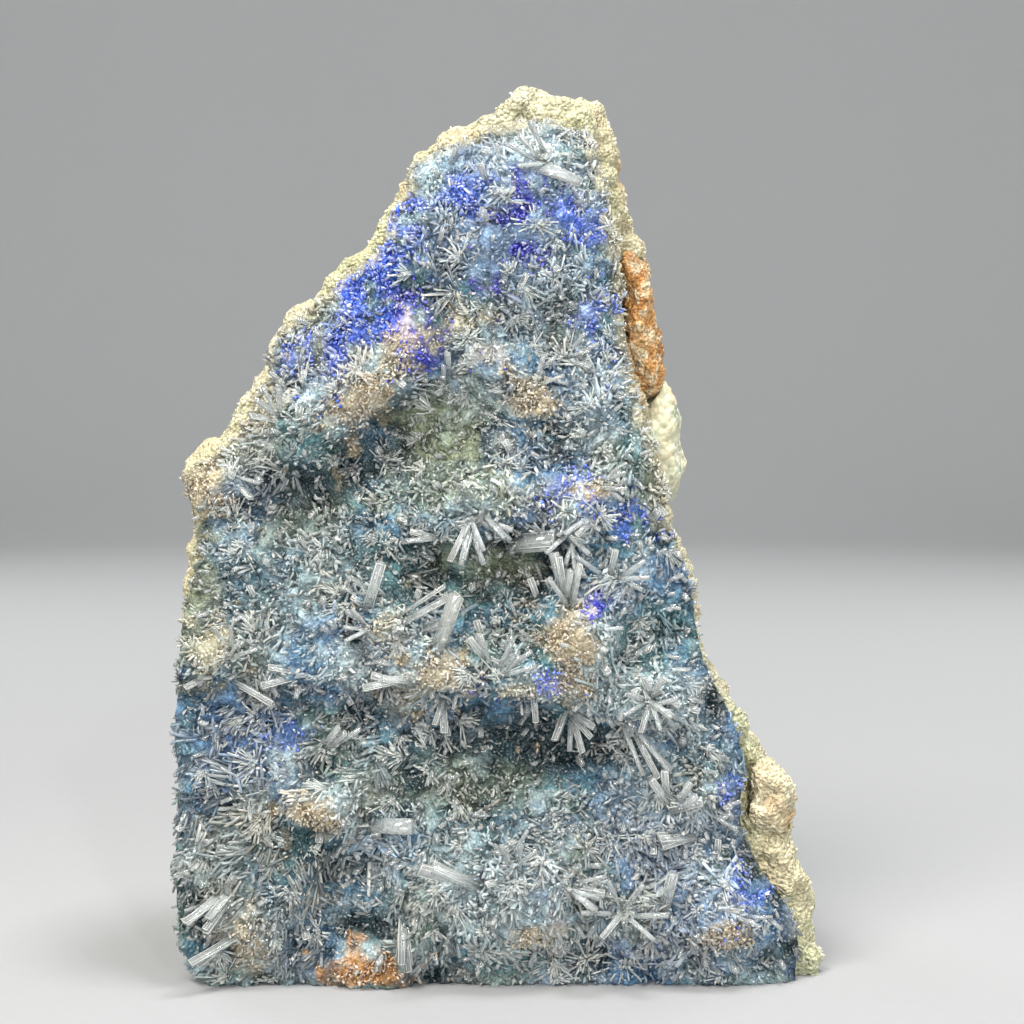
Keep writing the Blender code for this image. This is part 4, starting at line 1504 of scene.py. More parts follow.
    def bursts(self) -> Needles:
        """Grows the needles that radiate in bursts.

        Returns:
            The needles.
        """
        draw = np.random.default_rng(11)
        root = self.roots(draw)
        share = self.colours.needles(root[:, 0], root[:, 1])
        cover = self.relief.cover(root[:, 0], root[:, 1])
        vigour = 1 + 0.3 * clouds(in_face(root[:, 0], root[:, 1]), 7.0, BED_SEED + 50)
        size = cover * draw.lognormal(0.38, 0.36, len(root)) * vigour
        size = np.clip(size * (0.45 + 0.55 * share), *self.burst_sizes)
        number = (self.needles_per_burst * (size / 2.4) ** 0.8 * share**1.5).astype(int) + 1
        owner = np.repeat(np.arange(len(root)), number)
        count = len(owner)
        way = self.burst_ways(draw, root, self.relief.normals(root[:, 0], root[:, 1]), owner)
        loose = np.where(draw.random(len(root)) < 0.35, 0.18, 0.3 * size)[owner]
        x = root[owner, 0] + loose * draw.normal(0, 1, count)
        z = root[owner, 1] + loose * draw.normal(0, 1, count)
        foot = np.stack([x, self.relief.bed(x, z) + self.rooted, z], axis=1)
        streak = streaked(root[:, 0], root[:, 1])[owner]
        length = size[owner] * draw.uniform(0.55, 1.2, count) * (1 + 0.4 * streak) + self.rooted
        length = self.within_reach(foot, way, length)
        width = np.clip(0.05 * size[owner] + draw.lognormal(-1.5, 0.4, count), *self.needle_widths)
        tint = self.coloured(x, z, draw, 0.12)
        tint = tint * draw.lognormal(0.0, 0.2, len(root))[owner, None]
        tint = blended(tint, self.hoar(x, z), np.clip(0.18 * draw.normal(size=len(root)), 0, 0.5)[owner])
        needles = Needles(foot, way, length, width, tint, seed=21, flatness=1.2, slabs=True, shine=0.38)
        return needles.where(self.kept(foot, way, length) & (length > 0.5))

    def felt(self) -> Needles:
        """Grows short needles all over the bed.

        Returns:
            The needles.
        """
        draw = np.random.default_rng(12)
        border = self.relief.border
        low, high = border.min(axis=0), border.max(axis=0)
        root = draw.uniform(low, high, (int(self.felt_count * 1.5), 2))
        root = root[inside_ring(root[:, 0], root[:, 1], border)][: self.felt_count]
        x, z = root[:, 0], root[:, 1]
        normal = self.relief.normals(x, z)
        way = unit(lean_outwards(normal, x, z) + 0.85 * draw.normal(size=normal.shape))
        way = np.where((way * normal).sum(axis=1)[:, None] < 0.1, normal, way)
        foot = np.stack([x, self.relief.bed(x, z) + 0.1, z], axis=1)
        length = self.within_reach(foot, way, draw.uniform(*self.felt_lengths, len(x)))
        width = draw.uniform(*self.felt_widths, len(x))
        tint = self.coloured(x, z, draw, 0.16)
        needles = Needles(foot, way, length, width, tint, seed=22, slabs=True, shine=0.2)
        return needles.where(self.kept(foot, way, length))

    def stars(self) -> Needles:
        """Grows bright stars and fans of longer needles that lie on top of the druse.

        Returns:
            The needles.
        """
        draw = np.random.default_rng(13)
        placed = np.array([(spray.x, spray.z) for spray in SPRAYS.values() if spray.width < 1.0])
        strewn = self.roots(draw)
        strewn = strewn[draw.random(len(strewn)) < self.star_share]
        root = np.concatenate([placed, strewn])
        share = self.colours.needles(root[:, 0], root[:, 1])
        root = root[(share > 0.55) | (np.arange(len(root)) < len(placed))]
        x, z = root[:, 0], root[:, 1]
        number = draw.integers(*self.star_needles, len(root))
        owner = np.repeat(np.arange(len(root)), number)
        count = len(owner)
        normal = self.relief.normals(x, z)
        grown = lean_outwards(normal, x, z)
        towards = np.arctan2(grown[:, 2], grown[:, 0]) + draw.normal(0, 0.9, len(root))
        half = draw.uniform(0.35, 3.1, len(root))
        turn = towards[owner] + half[owner] * draw.uniform(-1, 1, count)
        rise = np.radians(draw.uniform(8, 75, count))
        flat = np.stack([np.cos(turn), np.zeros(count), np.sin(turn)], axis=1)
        way = unit(flat * np.cos(rise)[:, None] + normal[owner] * np.sin(rise)[:, None])
        reach = draw.uniform(*self.star_lengths, len(root))
        length = reach[owner] * draw.uniform(0.5, 1.05, count)
        fx = x[owner] + draw.normal(0, 0.15, count)
        fz = z[owner] + draw.normal(0, 0.15, count)
        foot = np.stack([fx, self.relief.tips(fx, fz) + 0.75, fz], axis=1)
        length = self.within_reach(foot, way, length)
        width = draw.uniform(*self.star_widths, count)
        tint = blended(self.coloured(fx, fz, draw, 0.5), Tint.FROST.linear, draw.uniform(0.2, 0.8, count))
        needles = Needles(foot, way, length, width, tint, seed=23, flatness=1.2, slabs=True, shine=0.6)
        return needles.where(self.kept(foot, way, length) & (length > 0.8))

    def build(self) -> None:
        """Makes the needles, joined by region."""
        finish = NEEDLE.make()
        for kind, needles in (("needles", self.bursts()), ("felt", self.felt()), ("stars", self.stars())):
            for region in Region:
                here = needles.where(region.holds(needles.foot[:, 0], needles.foot[:, 2]))
                name = f"{kind}_{region.value}"
                new_piece(name, here.mesh(name), finish, "aragonite")


@dataclass(frozen=True)
class Spray:
    """A group of large prisms that grow from one root.

    Args:
        x: Its root, to the right.
        z: Its root, upwards.
        toward: The way it points in the face, in degrees from +X.
        rise: How far it rises out of the face, in degrees.
        fan: How wide it spreads, in degrees.
        count: How many prisms it has.
        length: How long they are.
        width: How thick they are.
    """

    x: float
    z: float
    toward: float
    rise: float
    fan: float
    count: int
    length: float
    width: float

    def prisms(self, name: str) -> Iterator[tuple[float, float, Vector, float, float]]:
        """The root, direction, length and width of each prism.

        Args:
            name: The spray's name, which seeds its small irregularities.

        Yields:
            x and z of the root, the direction, the length and the width.
        """
        draw = random.Random(name)
        for i in range(self.count):
            spread = (i + 0.5) / self.count - 0.5 if self.count > 1 else 0.0
            turn = math.radians(self.toward + 2 * self.fan * spread + draw.uniform(-6, 6))
            lift = math.radians(min(70.0, max(12.0, self.rise + draw.uniform(-9, 9))))
            x, z = self.x + draw.uniform(-0.7, 0.7), self.z + draw.uniform(-0.7, 0.7)
            way = Vector((math.cos(lift) * math.cos(turn), -math.sin(lift), math.cos(lift) * math.sin(turn)))
            length, width = self.length * draw.uniform(0.75, 1.1), self.width * draw.uniform(0.8, 1.15)
            draw.uniform(0, 60)  # Not used, but the sprays' shapes count on this draw.
            yield x, z, way, length, width


# The large prisms that the photo shows one by one.
SPRAYS = {
    "crown star": Spray(5.5, 108.5, 150, 35, 50, 4, 5.5, 0.8),
    "crown lath": Spray(2.6, 107.8, -22, 22, 6, 1, 7, 1.5),
    "upper cross": Spray(1.2, 88.5, 58, 25, 30, 3, 5.6, 0.8),
    "upper pair": Spray(-7.4, 79.5, 92, 40, 8, 2, 4, 0.9),
    "right comb": Spray(8, 83, 20, 35, 40, 4, 4.5, 0.7),
    "tan comb": Spray(4.5, 80, 30, 40, 60, 4, 4, 0.7),
    "shoulder needles": Spray(-29.5, 75, 130, 35, 50, 4, 4.5, 0.8),
    "shoulder lath": Spray(-36, 67, -30, 35, 25, 2, 4.5, 0.8),
    "small star": Spray(12.5, 66.5, 10, 45, 60, 4, 4.5, 0.7),
    "white fan": Spray(-4, 62, -90, 30, 34, 6, 6, 0.9),
    "white fan side": Spray(-2.6, 62.5, -35, 35, 16, 4, 5, 0.8),
    "broad slab": Spray(0.4, 58.8, 12, 28, 4, 1, 6, 2.2),
    "fan wing": Spray(-8, 59.6, 176, 28, 16, 2, 5.5, 0.9),
    "middle star": Spray(8.8, 59.5, -90, 40, 60, 5, 4.4, 0.7),
    "long lath": Spray(12.5, 62.5, -150, 30, 10, 2, 5.5, 0.9),
    "star": Spray(14.4, 54.2, 60, 38, 100, 6, 5, 0.8),
    "crown of the knob": Spray(8.6, 51, 98, 24, 26, 6, 6.4, 0.9),
    "tall prism": Spray(-18.4, 50, 76, 25, 4, 1, 7.6, 1.7),
    "bright lath": Spray(-13.8, 48.8, 34, 22, 5, 2, 7.6, 1.0),
    "bank roots": Spray(-17.5, 47.8, 160, 35, 50, 4, 3.6, 0.8),
    "great prism": Spray(-8.6, 45.2, 68, 24, 4, 1, 9, 2.1),
    "side lath": Spray(-11, 46.6, 20, 24, 10, 2, 5.6, 1.1),
    "leaning pair": Spray(-2, 42.5, 112, 30, 14, 2, 5.6, 1.0),
    "short slab": Spray(1.2, 46.2, -12, 24, 10, 1, 4.4, 1.4),
    "ledge comb": Spray(-0.5, 41.5, 45, 34, 26, 5, 5, 0.7),
    "shelf box": Spray(-12.4, 40.6, 172, 22, 18, 3, 4.4, 1.2),
    "shelf drop": Spray(-8, 37.8, -88, 34, 26, 3, 4.2, 1.0),
    "ledge drop": Spray(9, 36.2, -70, 36, 50, 5, 4.6, 0.9),
    "pale burst": Spray(19, 38, 0, 42, 180, 8, 4.6, 0.8),
    "long drop": Spray(16.2, 35, -58, 28, 20, 4, 7.4, 0.9),
    "left lath": Spray(-35.6, 41.2, -28, 26, 12, 2, 6.4, 1.0),
    "left needles": Spray(-36, 44, 70, 34, 60, 5, 5, 0.7),
    "left ledge box": Spray(-27.5, 41.8, 182, 28, 24, 2, 4, 1.1),
    "left slope laths": Spray(-24, 31.5, 42, 28, 22, 4, 5.6, 0.9),
    "framed prism": Spray(-17.8, 21.6, 4, 24, 6, 1, 6.4, 2.0),
    "right scatter": Spray(22, 24, 70, 32, 60, 5, 4.4, 1.2),
    "right slab": Spray(25.4, 20.6, 186, 26, 20, 2, 4.4, 1.6),
    "right lath": Spray(20.6, 10.4, 78, 26, 6, 1, 6.6, 1.7),
    "lower star": Spray(15.8, 10.6, 90, 34, 150, 6, 5.4, 0.8),
    "lower comb": Spray(17, 4.6, 96, 24, 14, 5, 7, 0.8),
    "mound laths": Spray(-2.6, 14, 150, 24, 8, 2, 8.6, 2.0),
    "mound spikes": Spray(1.5, 17.4, 100, 38, 60, 6, 4.4, 0.7),
    "mound right": Spray(8.5, 14, -10, 36, 40, 5, 5, 0.8),
    "yellow tipped": Spray(-13.6, 9.2, -88, 22, 6, 3, 6, 1.2),
    "corner laths": Spray(-36, 13, 222, 36, 20, 5, 6.4, 1.1),
    "corner slab": Spray(-35.5, 7, 205, 28, 10, 2, 5.6, 1.5),
}


@dataclass
class ClearPrisms(Growth):
    """The large clear prisms, six-sided, the broad ones often with a thinner one grown along them.

    Args:
        scattered: How many smaller ones stand between the sprays.
        edged: Prisms wider than this get painted highlights along their edges.
    """

    scattered: int = 1100
    edged: float = 0.8

    def rows(self) -> Array:
        """Lists every prism of the sprays and between them.

        Returns:
            The foot, direction, length and width of each, shape (n, 8).
        """
        rows = []
        for name, spray in SPRAYS.items():
            for x, z, way, length, width in spray.prisms(name):
                surface = float(self.relief.tips(np.array([x]), np.array([z]))[0])
                rows.append((x, surface + 0.9, z, *way, length + 0.9, width))
        return np.array(rows + self.strays())

    def strays(self) -> list[tuple[float, ...]]:
        """Strews smaller prisms over the face, which lean away from the middle of the plate.

        Returns:
            The foot, direction, length and width of each.
        """
        draw = np.random.default_rng(31)
        border = self.relief.border
        low, high = border.min(axis=0), border.max(axis=0)
        root = draw.uniform(low, high, (self.scattered * 3, 2))
        keep = inside_ring(root[:, 0], root[:, 1], border) & (root[:, 1] > 2.5)
        keep &= draw.random(len(root)) < self.colours.needles(root[:, 0], root[:, 1]) ** 2
        root = root[keep][: self.scattered]
        x, z = root[:, 0], root[:, 1]
        way = lean_outwards(self.relief.normals(x, z), x, z) + 0.55 * draw.normal(size=(len(x), 3))
        way[:, 1] = np.minimum(way[:, 1], -0.25)
        way = unit(way)
        length = draw.uniform(1.6, 4.4, len(x))
        width = draw.lognormal(-0.5, 0.28, len(x))
        foot = np.column_stack([x, self.relief.tips(x, z) + 0.6 * length, z])
        inner = inside_ring(*(foot + way * length[:, None])[:, [0, 2]].T, border)
        return [tuple(row) for row in np.column_stack([foot, way, length, width])[inner]]

    def bundled(self, rows: Array) -> Array:
        """Gives some of the broader prisms a thinner, shorter one along them.

        Args:
            rows: The foot, direction, length and width of each, shape (n, 8).

        Returns:
            The same for every prism, the thinner ones included.
        """
        draw = np.random.default_rng(32)
        out = []
        for row in rows:
            way, length, width = row[3:6], row[6], row[7]
            side = np.cross(way, [0.3, 0.9, 0.2])
            side /= np.linalg.norm(side)
            for i in range(1 if width < 0.6 else int(draw.integers(1, 3))):
                away = draw.uniform(-0.45, 0.45, 2) * width * (i > 0)
                foot = row[:3] + side * away[0] + np.cross(way, side) * away[1]
                share = 0.95 if i == 0 else draw.uniform(0.25, 0.45)
                out.append((*foot, *way, length * (1 if i == 0 else draw.uniform(0.4, 0.9)), width * share))
        return np.array(out)

    def edges(self, prisms: Needles) -> Needles:
        """Draws thin white lines that paint highlights on each of the wider prisms: along its two long edges, along
        a step of growth between them and along its end.

        Args:
            prisms: The prisms.

        Returns:
            The lines.
        """
        draw = np.random.default_rng(35)
        broad = prisms.width > self.edged
        wide, corners = prisms.where(broad), prisms.corners()[broad]
        first = (corners[:, 1, 1] < corners[:, 4, 1])[:, None, None]
        nearer = np.where(first, corners[:, [1, 2]], corners[:, [5, 4]])
        left, right = nearer[:, 0], nearer[:, 1]
        share = draw.uniform(0.25, 0.75, (len(left), 1))
        lines = [left, right, left * share + right * (1 - share)]
        top = wide.foot + wide.way * wide.length[:, None]
        foot = [wide.foot + line for line in lines] + [top + left * 0.98]
        end = [top + line * 0.98 for line in lines] + [top + right * 0.98]
        foot, end = np.concatenate(foot), np.concatenate(end)
        way = end - foot
        length = np.linalg.norm(way, axis=1)
        way /= length[:, None]
        cut = np.concatenate([draw.uniform(0.0, 0.3, 3 * len(left)), np.zeros(len(left))]) * length
        tint = blended(Tint.FROST.linear[None], Tint.WHITE.linear[None], draw.uniform(0, 1, len(way)))
        width = draw.uniform(0.07, 0.13, len(way)) * np.repeat([1.0, 1.0, 0.7, 1.0], len(left))
        return Needles(
            foot + way * cut[:, None], way, length - cut, width, tint,
            flatness=0.8, whitening=0.1, seed=36, slant=0.1, taper=1.0,
        )

    def build(self) -> None:
        """Makes the prisms, and the painted highlight lines on them, each as one joined mesh."""
        rows = self.rows()
        tip = rows[:, :3] + rows[:, 3:6] * rows[:, 6:7]
        rows = self.bundled(rows[(tip[:, 2] > 1) & (rows[:, 2] > 1)])
        draw = np.random.default_rng(33)
        tint = self.colours.at(rows[:, 0], rows[:, 2])
        tint = blended(tint, Tint.GLASS.linear, draw.uniform(0.75, 1.0, len(rows)))
        # The prisms' shine whitens one side of each, a painted highlight.
        prisms = Needles(
            rows[:, :3], rows[:, 3:6], rows[:, 6], rows[:, 7], tint,
            sides=6, flatness=1.0, whitening=0.1, seed=34, slant=0.08, taper=0.98, slabs=True, shine=0.4,
        )
        new_piece("clear_prisms", prisms.mesh("clear_prisms"), PRISM.make(), "aragonite")
        new_piece("prism_edge_highlights", self.edges(prisms).mesh("prism_edge_highlights"), EDGE_HIGHLIGHT_FINISH.make(), "aragonite")


# The faint pink of the sugary grains, as linear red, green and blue.
BLUSH = np.array([0.92, 0.84, 0.82])


@dataclass
class Granules(Growth):
    """Small stout crystals that crowd on the knobs and in the azure patches.

    Args:
        tried: How many places are tried for azure grains. For tan ones it is twice as many.
        sugar_tried: How many places are tried for sparkling pale grains.
    """

    tried: int = 24000
    sugar_tried: int = 9000

    def cover(self, x: Array, z: Array, tints: tuple[Tint, ...]) -> tuple[Array, Array]:
        """Finds the patches of some tints.

        Args:
            x, z: The places in the face.
            tints: The tints.

        Returns:
            How far such patches cover each place, and their linear colour there.
        """
        place = in_face(x, z)
        ragged = outline_noise(place)
        most = np.zeros_like(x)
        colour = np.zeros((len(x), 3))
        for patch in PATCHES.values():
            if patch.tint in tints:
                here = clumped(patch, patch.cover(x, z, ragged), place)
                colour = np.where((here > most)[:, None], patch.tint.linear, colour)
                most = np.maximum(most, here)
        return most, colour

    def places(self, count: int, seed: int) -> tuple[Array, Array, np.random.Generator]:
        """Draws random places inside the border.

        Args:
            count: How many are drawn at most.
            seed: Sets the draws.

        Returns:
            Places to the right, places upwards, and the random draws to go on with.
        """
        draw = np.random.default_rng(seed)
        border = self.relief.border
        root = draw.uniform(border.min(axis=0), border.max(axis=0), (count * 2, 2))
        root = root[inside_ring(root[:, 0], root[:, 1], border) & (root[:, 1] > 0.8)][:count]
        return root[:, 0], root[:, 1], draw

    def grown(self, x: Array, z: Array, tint: Array, size: Array, draw: np.random.Generator) -> Needles:
        """Grows stout five-sided crystals on the bed at random angles.

        Args:
            x, z: Their places in the face.
            tint: Their linear colours, shape (n, 3).
            size: How thick they are.
            draw: The random draws.

        Returns:
            The crystals.
        """
        normal = self.relief.normals(x, z)
        way = unit(normal + 0.9 * draw.normal(size=normal.shape))
        way = np.where((way * normal).sum(axis=1)[:, None] < 0, -way, way)
        sunk = 1 - self.colours.needles(x, z)
        depth = self.relief.cover(x, z) * (1 - 0.75 * sunk)
        level = self.relief.tips(x, z) + depth * draw.uniform(0.15, 1.0, len(x))
        foot = np.stack([x, level + 0.3 * size, z], axis=1)
        length = size * draw.uniform(0.7, 1.5, len(x))
        return Needles(foot, way, length, size, tint, sides=5, flatness=0.85, whitening=0.1, seed=41)

    def azure(self) -> Needles:
        """Grows the deep blue grains.

        Returns:
            The grains.
        """
        x, z, draw = self.places(self.tried, 42)
        most, colour = self.cover(x, z, BLUES)
        keep = draw.random(len(x)) < 2.2 * most
        x, z, colour = x[keep], z[keep], colour[keep]
        pale = np.where(draw.random(len(x)) < 0.12, draw.uniform(0.3, 0.8, len(x)), draw.uniform(0, 0.15, len(x)))
        colour = blended(colour, Tint.WHITE.linear, pale) * draw.uniform(0.6, 1.5, (len(x), 1))
        return self.grown(x, z, colour, draw.uniform(0.22, 0.48, len(x)), draw)

    def tan(self) -> Needles:
        """Grows the tan and cream grains of the knobs.

        Returns:
            The grains.
        """
        x, z, draw = self.places(2 * self.tried, 43)
        most, colour = self.cover(x, z, (Tint.TAN, Tint.CREAM, Tint.LIMONITE, Tint.WHITE))
        keep = draw.random(len(x)) < most**1.15
        x, z, colour = x[keep], z[keep], colour[keep]
        colour = blended(colour, Tint.WHITE.linear, draw.uniform(0, 0.6, len(x)))
        colour = blended(colour, Tint.RUST.linear, 0.45 * draw.random(len(x)) ** 4)
        colour = colour * draw.uniform(0.6, 1.0, (len(x), 1))
        return self.grown(x, z, colour, draw.uniform(0.2, 0.38, len(x)), draw)

    def sugar(self) -> Needles:
        """Grows pinkish-white grains, the palest of which also stand in for glints as painted highlights, in drifts
        near the top and thinner below.

        Returns:
            The grains.
        """
        x, z, draw = self.places(self.sugar_tried, 44)
        drift = clouds(in_face(x, z), 5.0, BED_SEED + 60) + np.where(z > 80, 0.2, -0.2)
        # The dark teal patches, the painted shadows among them, keep the grains out.
        shaded, _ = self.cover(x, z, (Tint.DARK_TEAL,))
        keep = draw.random(len(x)) < np.clip(0.5 + 0.9 * drift, 0.12, 0.95) * (1 - shaded)
        x, z = x[keep], z[keep]
        # Partly real pinkish-white grains and partly painted glints: a few turn pale, between blush and frost, and
        # the rest keep near the bed's colour.
        colour = blended(BLUSH[None], Tint.FROST.linear, draw.random(len(x)))
        around = self.colours.at(x, z)
        colour = blended(around * draw.uniform(0.8, 1.5, (len(x), 1)), colour, draw.uniform(0, 1, len(x)) ** 3)
        grains = self.grown(x, z, colour, draw.uniform(0.2, 0.48, len(x)), draw)
        return replace(grains, sides=4, length=0.9 * grains.length)

    def build(self) -> None:
        """Makes the three kinds of grain, each one joined mesh."""
        finish = GRAIN.make()
        kinds = {"azure_grains": self.azure(), "tan_grains": self.tan(), "sugar_grains": self.sugar()}
        for name, grains in kinds.items():
            new_piece(name, grains.mesh(name), finish, "aragonite")


# Points lower than this stand on the floor.
FOOT = 0.3


def remeshed(node: str, name: str, voxel: float) -> bpy.types.Mesh:
    """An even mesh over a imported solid.

    Args:
        node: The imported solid's name.
        name: The new mesh's name.
        voxel: The size of its faces in millimetres.

    Returns:
        The new mesh.
    """
    helper = linked(name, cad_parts[node].data.copy())
    modifier = helper.modifiers.new("even", "REMESH")
    modifier.mode = "VOXEL"
    modifier.voxel_size = voxel * MM
    evaluated = helper.evaluated_get(bpy.context.evaluated_depsgraph_get())
    mesh = bpy.data.meshes.new_from_object(evaluated)
    bpy.data.objects.remove(helper)
    mesh.name = name
    return mesh


def smoothed(mesh: bpy.types.Mesh, times: int) -> None:
    """Rounds a mesh's edges off, apart from its foot, which stays on the floor.

    Args:
        mesh: The mesh.
        times: How often each point moves towards its neighbours' mean.
    """
    shaped = bmesh.new()
    shaped.from_mesh(mesh)
    for _ in range(times):
        free = [vert for vert in shaped.verts if vert.co.z > FOOT * MM]
        bmesh.ops.smooth_vert(shaped, verts=free, factor=0.5, use_axis_x=True, use_axis_y=True, use_axis_z=True)
    shaped.to_mesh(mesh)
    shaped.free()


@dataclass
class HostRock:
    """The cream rock behind the druse: broken, granular, with lumpy pale crusts and rusty stains.

    Args:
        voxel: The size of its faces in millimetres.
    """

    voxel: float = 0.72

    def tints(self, points: Array, hollow: Array) -> Array:
        """Colours the rock, with painted shade that darkens it in its pits.

        Args:
            points: Its points, shape (n, 3).
            hollow: How high each point stands among its grains, from 0 to 1.

        Returns:
            Linear colours, shape (n, 3).
        """
        x, y, z = points.T
        broad, middle = clouds(points, 14.0, 71), clouds(points, 4.5, 72)
        colour = blended(Tint.CREAM.linear, Tint.YELLOW_CREAM.linear, 0.5 + broad)
        colour = Wash(Tint.PALE_GREEN, 9.0, 73, 0.6, 0.1).over(colour, points)
        colour = blended(colour, Tint.TAN.linear, 0.9 * middle + 0.5 * broad - 0.1)
        colour = Wash(Tint.OLIVE, 7.0, 74, 0.7, -0.25).over(colour, points)
        seam = np.exp(-(((z - 88) / 18) ** 2) - ((x - 20) / 9) ** 2)
        low_right = np.exp(-(((z - 8) / 12) ** 2) - ((x - 40) / 6) ** 2)
        rusty = 1.0 * seam + 0.5 * low_right + 0.4 * np.clip(y / 15, 0, 1) + 0.7 * clouds(points, 6.0, 75) - 0.45
        colour = blended(colour, Tint.LIMONITE.linear, rusty)
        colour = blended(colour, Tint.RUST.linear, 0.8 * rusty - 0.35)
        # Painted shade: points that lie low among the grains are darkened.
        return colour * np.clip(0.6 + 0.4 * hollow, 0.35, 1.0)[:, None]

    def build(self) -> bpy.types.Object:
        """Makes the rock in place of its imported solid.

        Returns:
            The rock.
        """
        mesh = remeshed("matrix", "host_rock", self.voxel)
        smoothed(mesh, 3)
        points, normals = points_and_normals(mesh)
        lump, _ = pebbles(points, 4.6, 81)
        grain, _ = pebbles(points, 2.2, 82)
        bits, owner = pebbles(points, 1.3, 83)
        crumbly = np.clip(0.5 + 1.2 * clouds(points, 11.0, 84), 0.1, 1)
        push = 1.7 * crumbly * (lump - 0.7) + 1.2 * (grain - 0.7) + 0.7 * (bits - 0.7)
        push += 0.5 * clouds(points, 2.4, 85) + 0.6 * clouds(points, 6.5, 86)
        base = np.clip(points[:, 2] / 1.5, 0, 1)
        moved = points + normals * (push * base)[:, None]
        moved[:, 2] = np.where(points[:, 2] < FOOT, 0.0, np.maximum(moved[:, 2], 0.0))
        place_points(mesh, moved)
        paint_points(mesh, self.tints(points, 0.6 * grain + 0.4 * bits) * (0.9 + 0.2 * owner)[:, None])
        rock = new_piece("host_rock", mesh, HOST_ROCK.make(), "host_rock")
        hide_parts("matrix")
        return rock


@dataclass
class RimCrystals:
    """Small pale crystals that crust the host rock's rim and flanks.

    Args:
        rock: The host rock.
        tried: How many places are tried.
        reach: How far to each side of the middle they are looked for.
        top: How far up they are looked for.
        look_from: The sides that they are looked for from: the front, the right, the left and the back.
    """

    rock: bpy.types.Object
    tried: int = 9000
    reach: float = 46.0
    top: float = 120.0
    look_from: tuple[tuple[float, float], ...] = ((0.0, -1.0), (1.0, -0.25), (-1.0, -0.25), (0.4, 1.0))

    def places(self, draw: np.random.Generator) -> tuple[Array, Array, Array]:
        """Finds places on the rock.

        Args:
            draw: The random draws.

        Returns:
            The places, the way the rock faces there, and its linear colours, each of shape (n, 3).
        """
        tree = BVHTree.FromObject(self.rock, bpy.context.evaluated_depsgraph_get())
        mesh = self.rock.data
        rgba = np.empty(len(mesh.vertices) * 4, np.float32)
        mesh.color_attributes[TINT].data.foreach_get("color", rgba)
        tints = rgba.reshape(-1, 4)[:, :3]
        found = []
        for i in range(self.tried):
            side = Vector((*self.look_from[i % len(self.look_from)], 0.0)).normalized()
            across = Vector((-side.y, side.x, 0.0))
            start = side * OUTSIDE + across * float(draw.uniform(-self.reach, self.reach))
            start.z = float(draw.uniform(1, self.top))
            hit, normal, face, _ = tree.ray_cast(start * MM, -side)
            if hit is not None:
                tint = tints[mesh.polygons[face].vertices[0]]
                found.append((*(hit / MM), *normal, *tint))
        rows = np.array(found)
        return rows[:, :3], rows[:, 3:6], rows[:, 6:]

    def build(self) -> None:
        """Makes the crystals as one joined mesh."""
        draw = np.random.default_rng(61)
        foot, normal, tint = self.places(draw)
        drift = 0.45 + 1.1 * clouds(foot, 7.0, 62) + 0.25 * (foot[:, 1] < 0)
        keep = draw.random(len(foot)) < np.clip(drift, 0.05, 0.9)
        foot, normal, tint = foot[keep], normal[keep], tint[keep]
        way = unit(normal + 0.7 * draw.normal(size=normal.shape))
        size = draw.uniform(0.25, 0.6, len(foot))
        foot = foot - normal * (0.3 * size)[:, None]
        tint = blended(1.15 * tint, Tint.WHITE.linear, draw.uniform(0, 0.7, len(foot)) ** 1.5)
        clear = (foot + way * size[:, None])[:, 2] > 0.6
        length = size * draw.uniform(0.5, 1.1, len(foot))
        grains = Needles(foot, way, length, size, tint, flatness=0.85, whitening=0.1, seed=63)
        new_piece("rim_crystals", grains.where(clear).mesh("rim_crystals"), GRAIN.make(), "host_rock")


@dataclass
class MineralMass:
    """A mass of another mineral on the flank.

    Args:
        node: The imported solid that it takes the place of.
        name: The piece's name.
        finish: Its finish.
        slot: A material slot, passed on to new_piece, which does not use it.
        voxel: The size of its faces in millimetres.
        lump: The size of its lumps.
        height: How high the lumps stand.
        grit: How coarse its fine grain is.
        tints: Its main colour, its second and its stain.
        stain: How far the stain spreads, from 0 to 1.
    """

    node: str
    name: str
    finish: TintedFinish
    slot: str
    voxel: float
    lump: float
    height: float
    grit: float
    tints: tuple[Tint, Tint, Tint]
    stain: float

    def build(self) -> None:
        """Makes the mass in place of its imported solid."""
        mesh = remeshed(self.node, self.name, self.voxel)
        smoothed(mesh, 4)
        points, normals = points_and_normals(mesh)
        lump, _ = pebbles(points, self.lump, 91)
        small, _ = pebbles(points, self.lump * 0.45, 92)
        grit, owner = pebbles(points, 0.8, 93)
        push = self.height * (lump - 0.8) + 0.5 * self.height * (small - 0.75) + self.grit * (grit - 0.7)
        push += self.height * clouds(points, 4.0, 96)
        place_points(mesh, points + normals * push[:, None])
        main, second, stain = (tint.linear for tint in self.tints)
        colour = blended(main, second, 0.4 + 0.9 * clouds(points, 2.0, 94) + 0.5 * (owner - 0.5))
        colour = blended(colour, stain, self.stain + 0.9 * clouds(points, 3.0, 95) - 0.3)
        colour = blended(colour, Tint.CREAM.linear, np.where(owner > 0.8, 0.6, 0))
        # Painted shade and light: darker low between the lumps and grains, paler on their tops, with a random tone
        # for each grain.
        painted_lump_shade = np.clip(0.7 + 0.4 * lump * (0.6 + 0.4 * grit) + 0.2 * (owner - 0.5), 0.4, 1.15)
        paint_points(mesh, colour * painted_lump_shade[:, None])
        shade_smooth(mesh)
        mass = new_piece(self.name, mesh, self.finish.make(), self.slot)
        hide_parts(self.node)


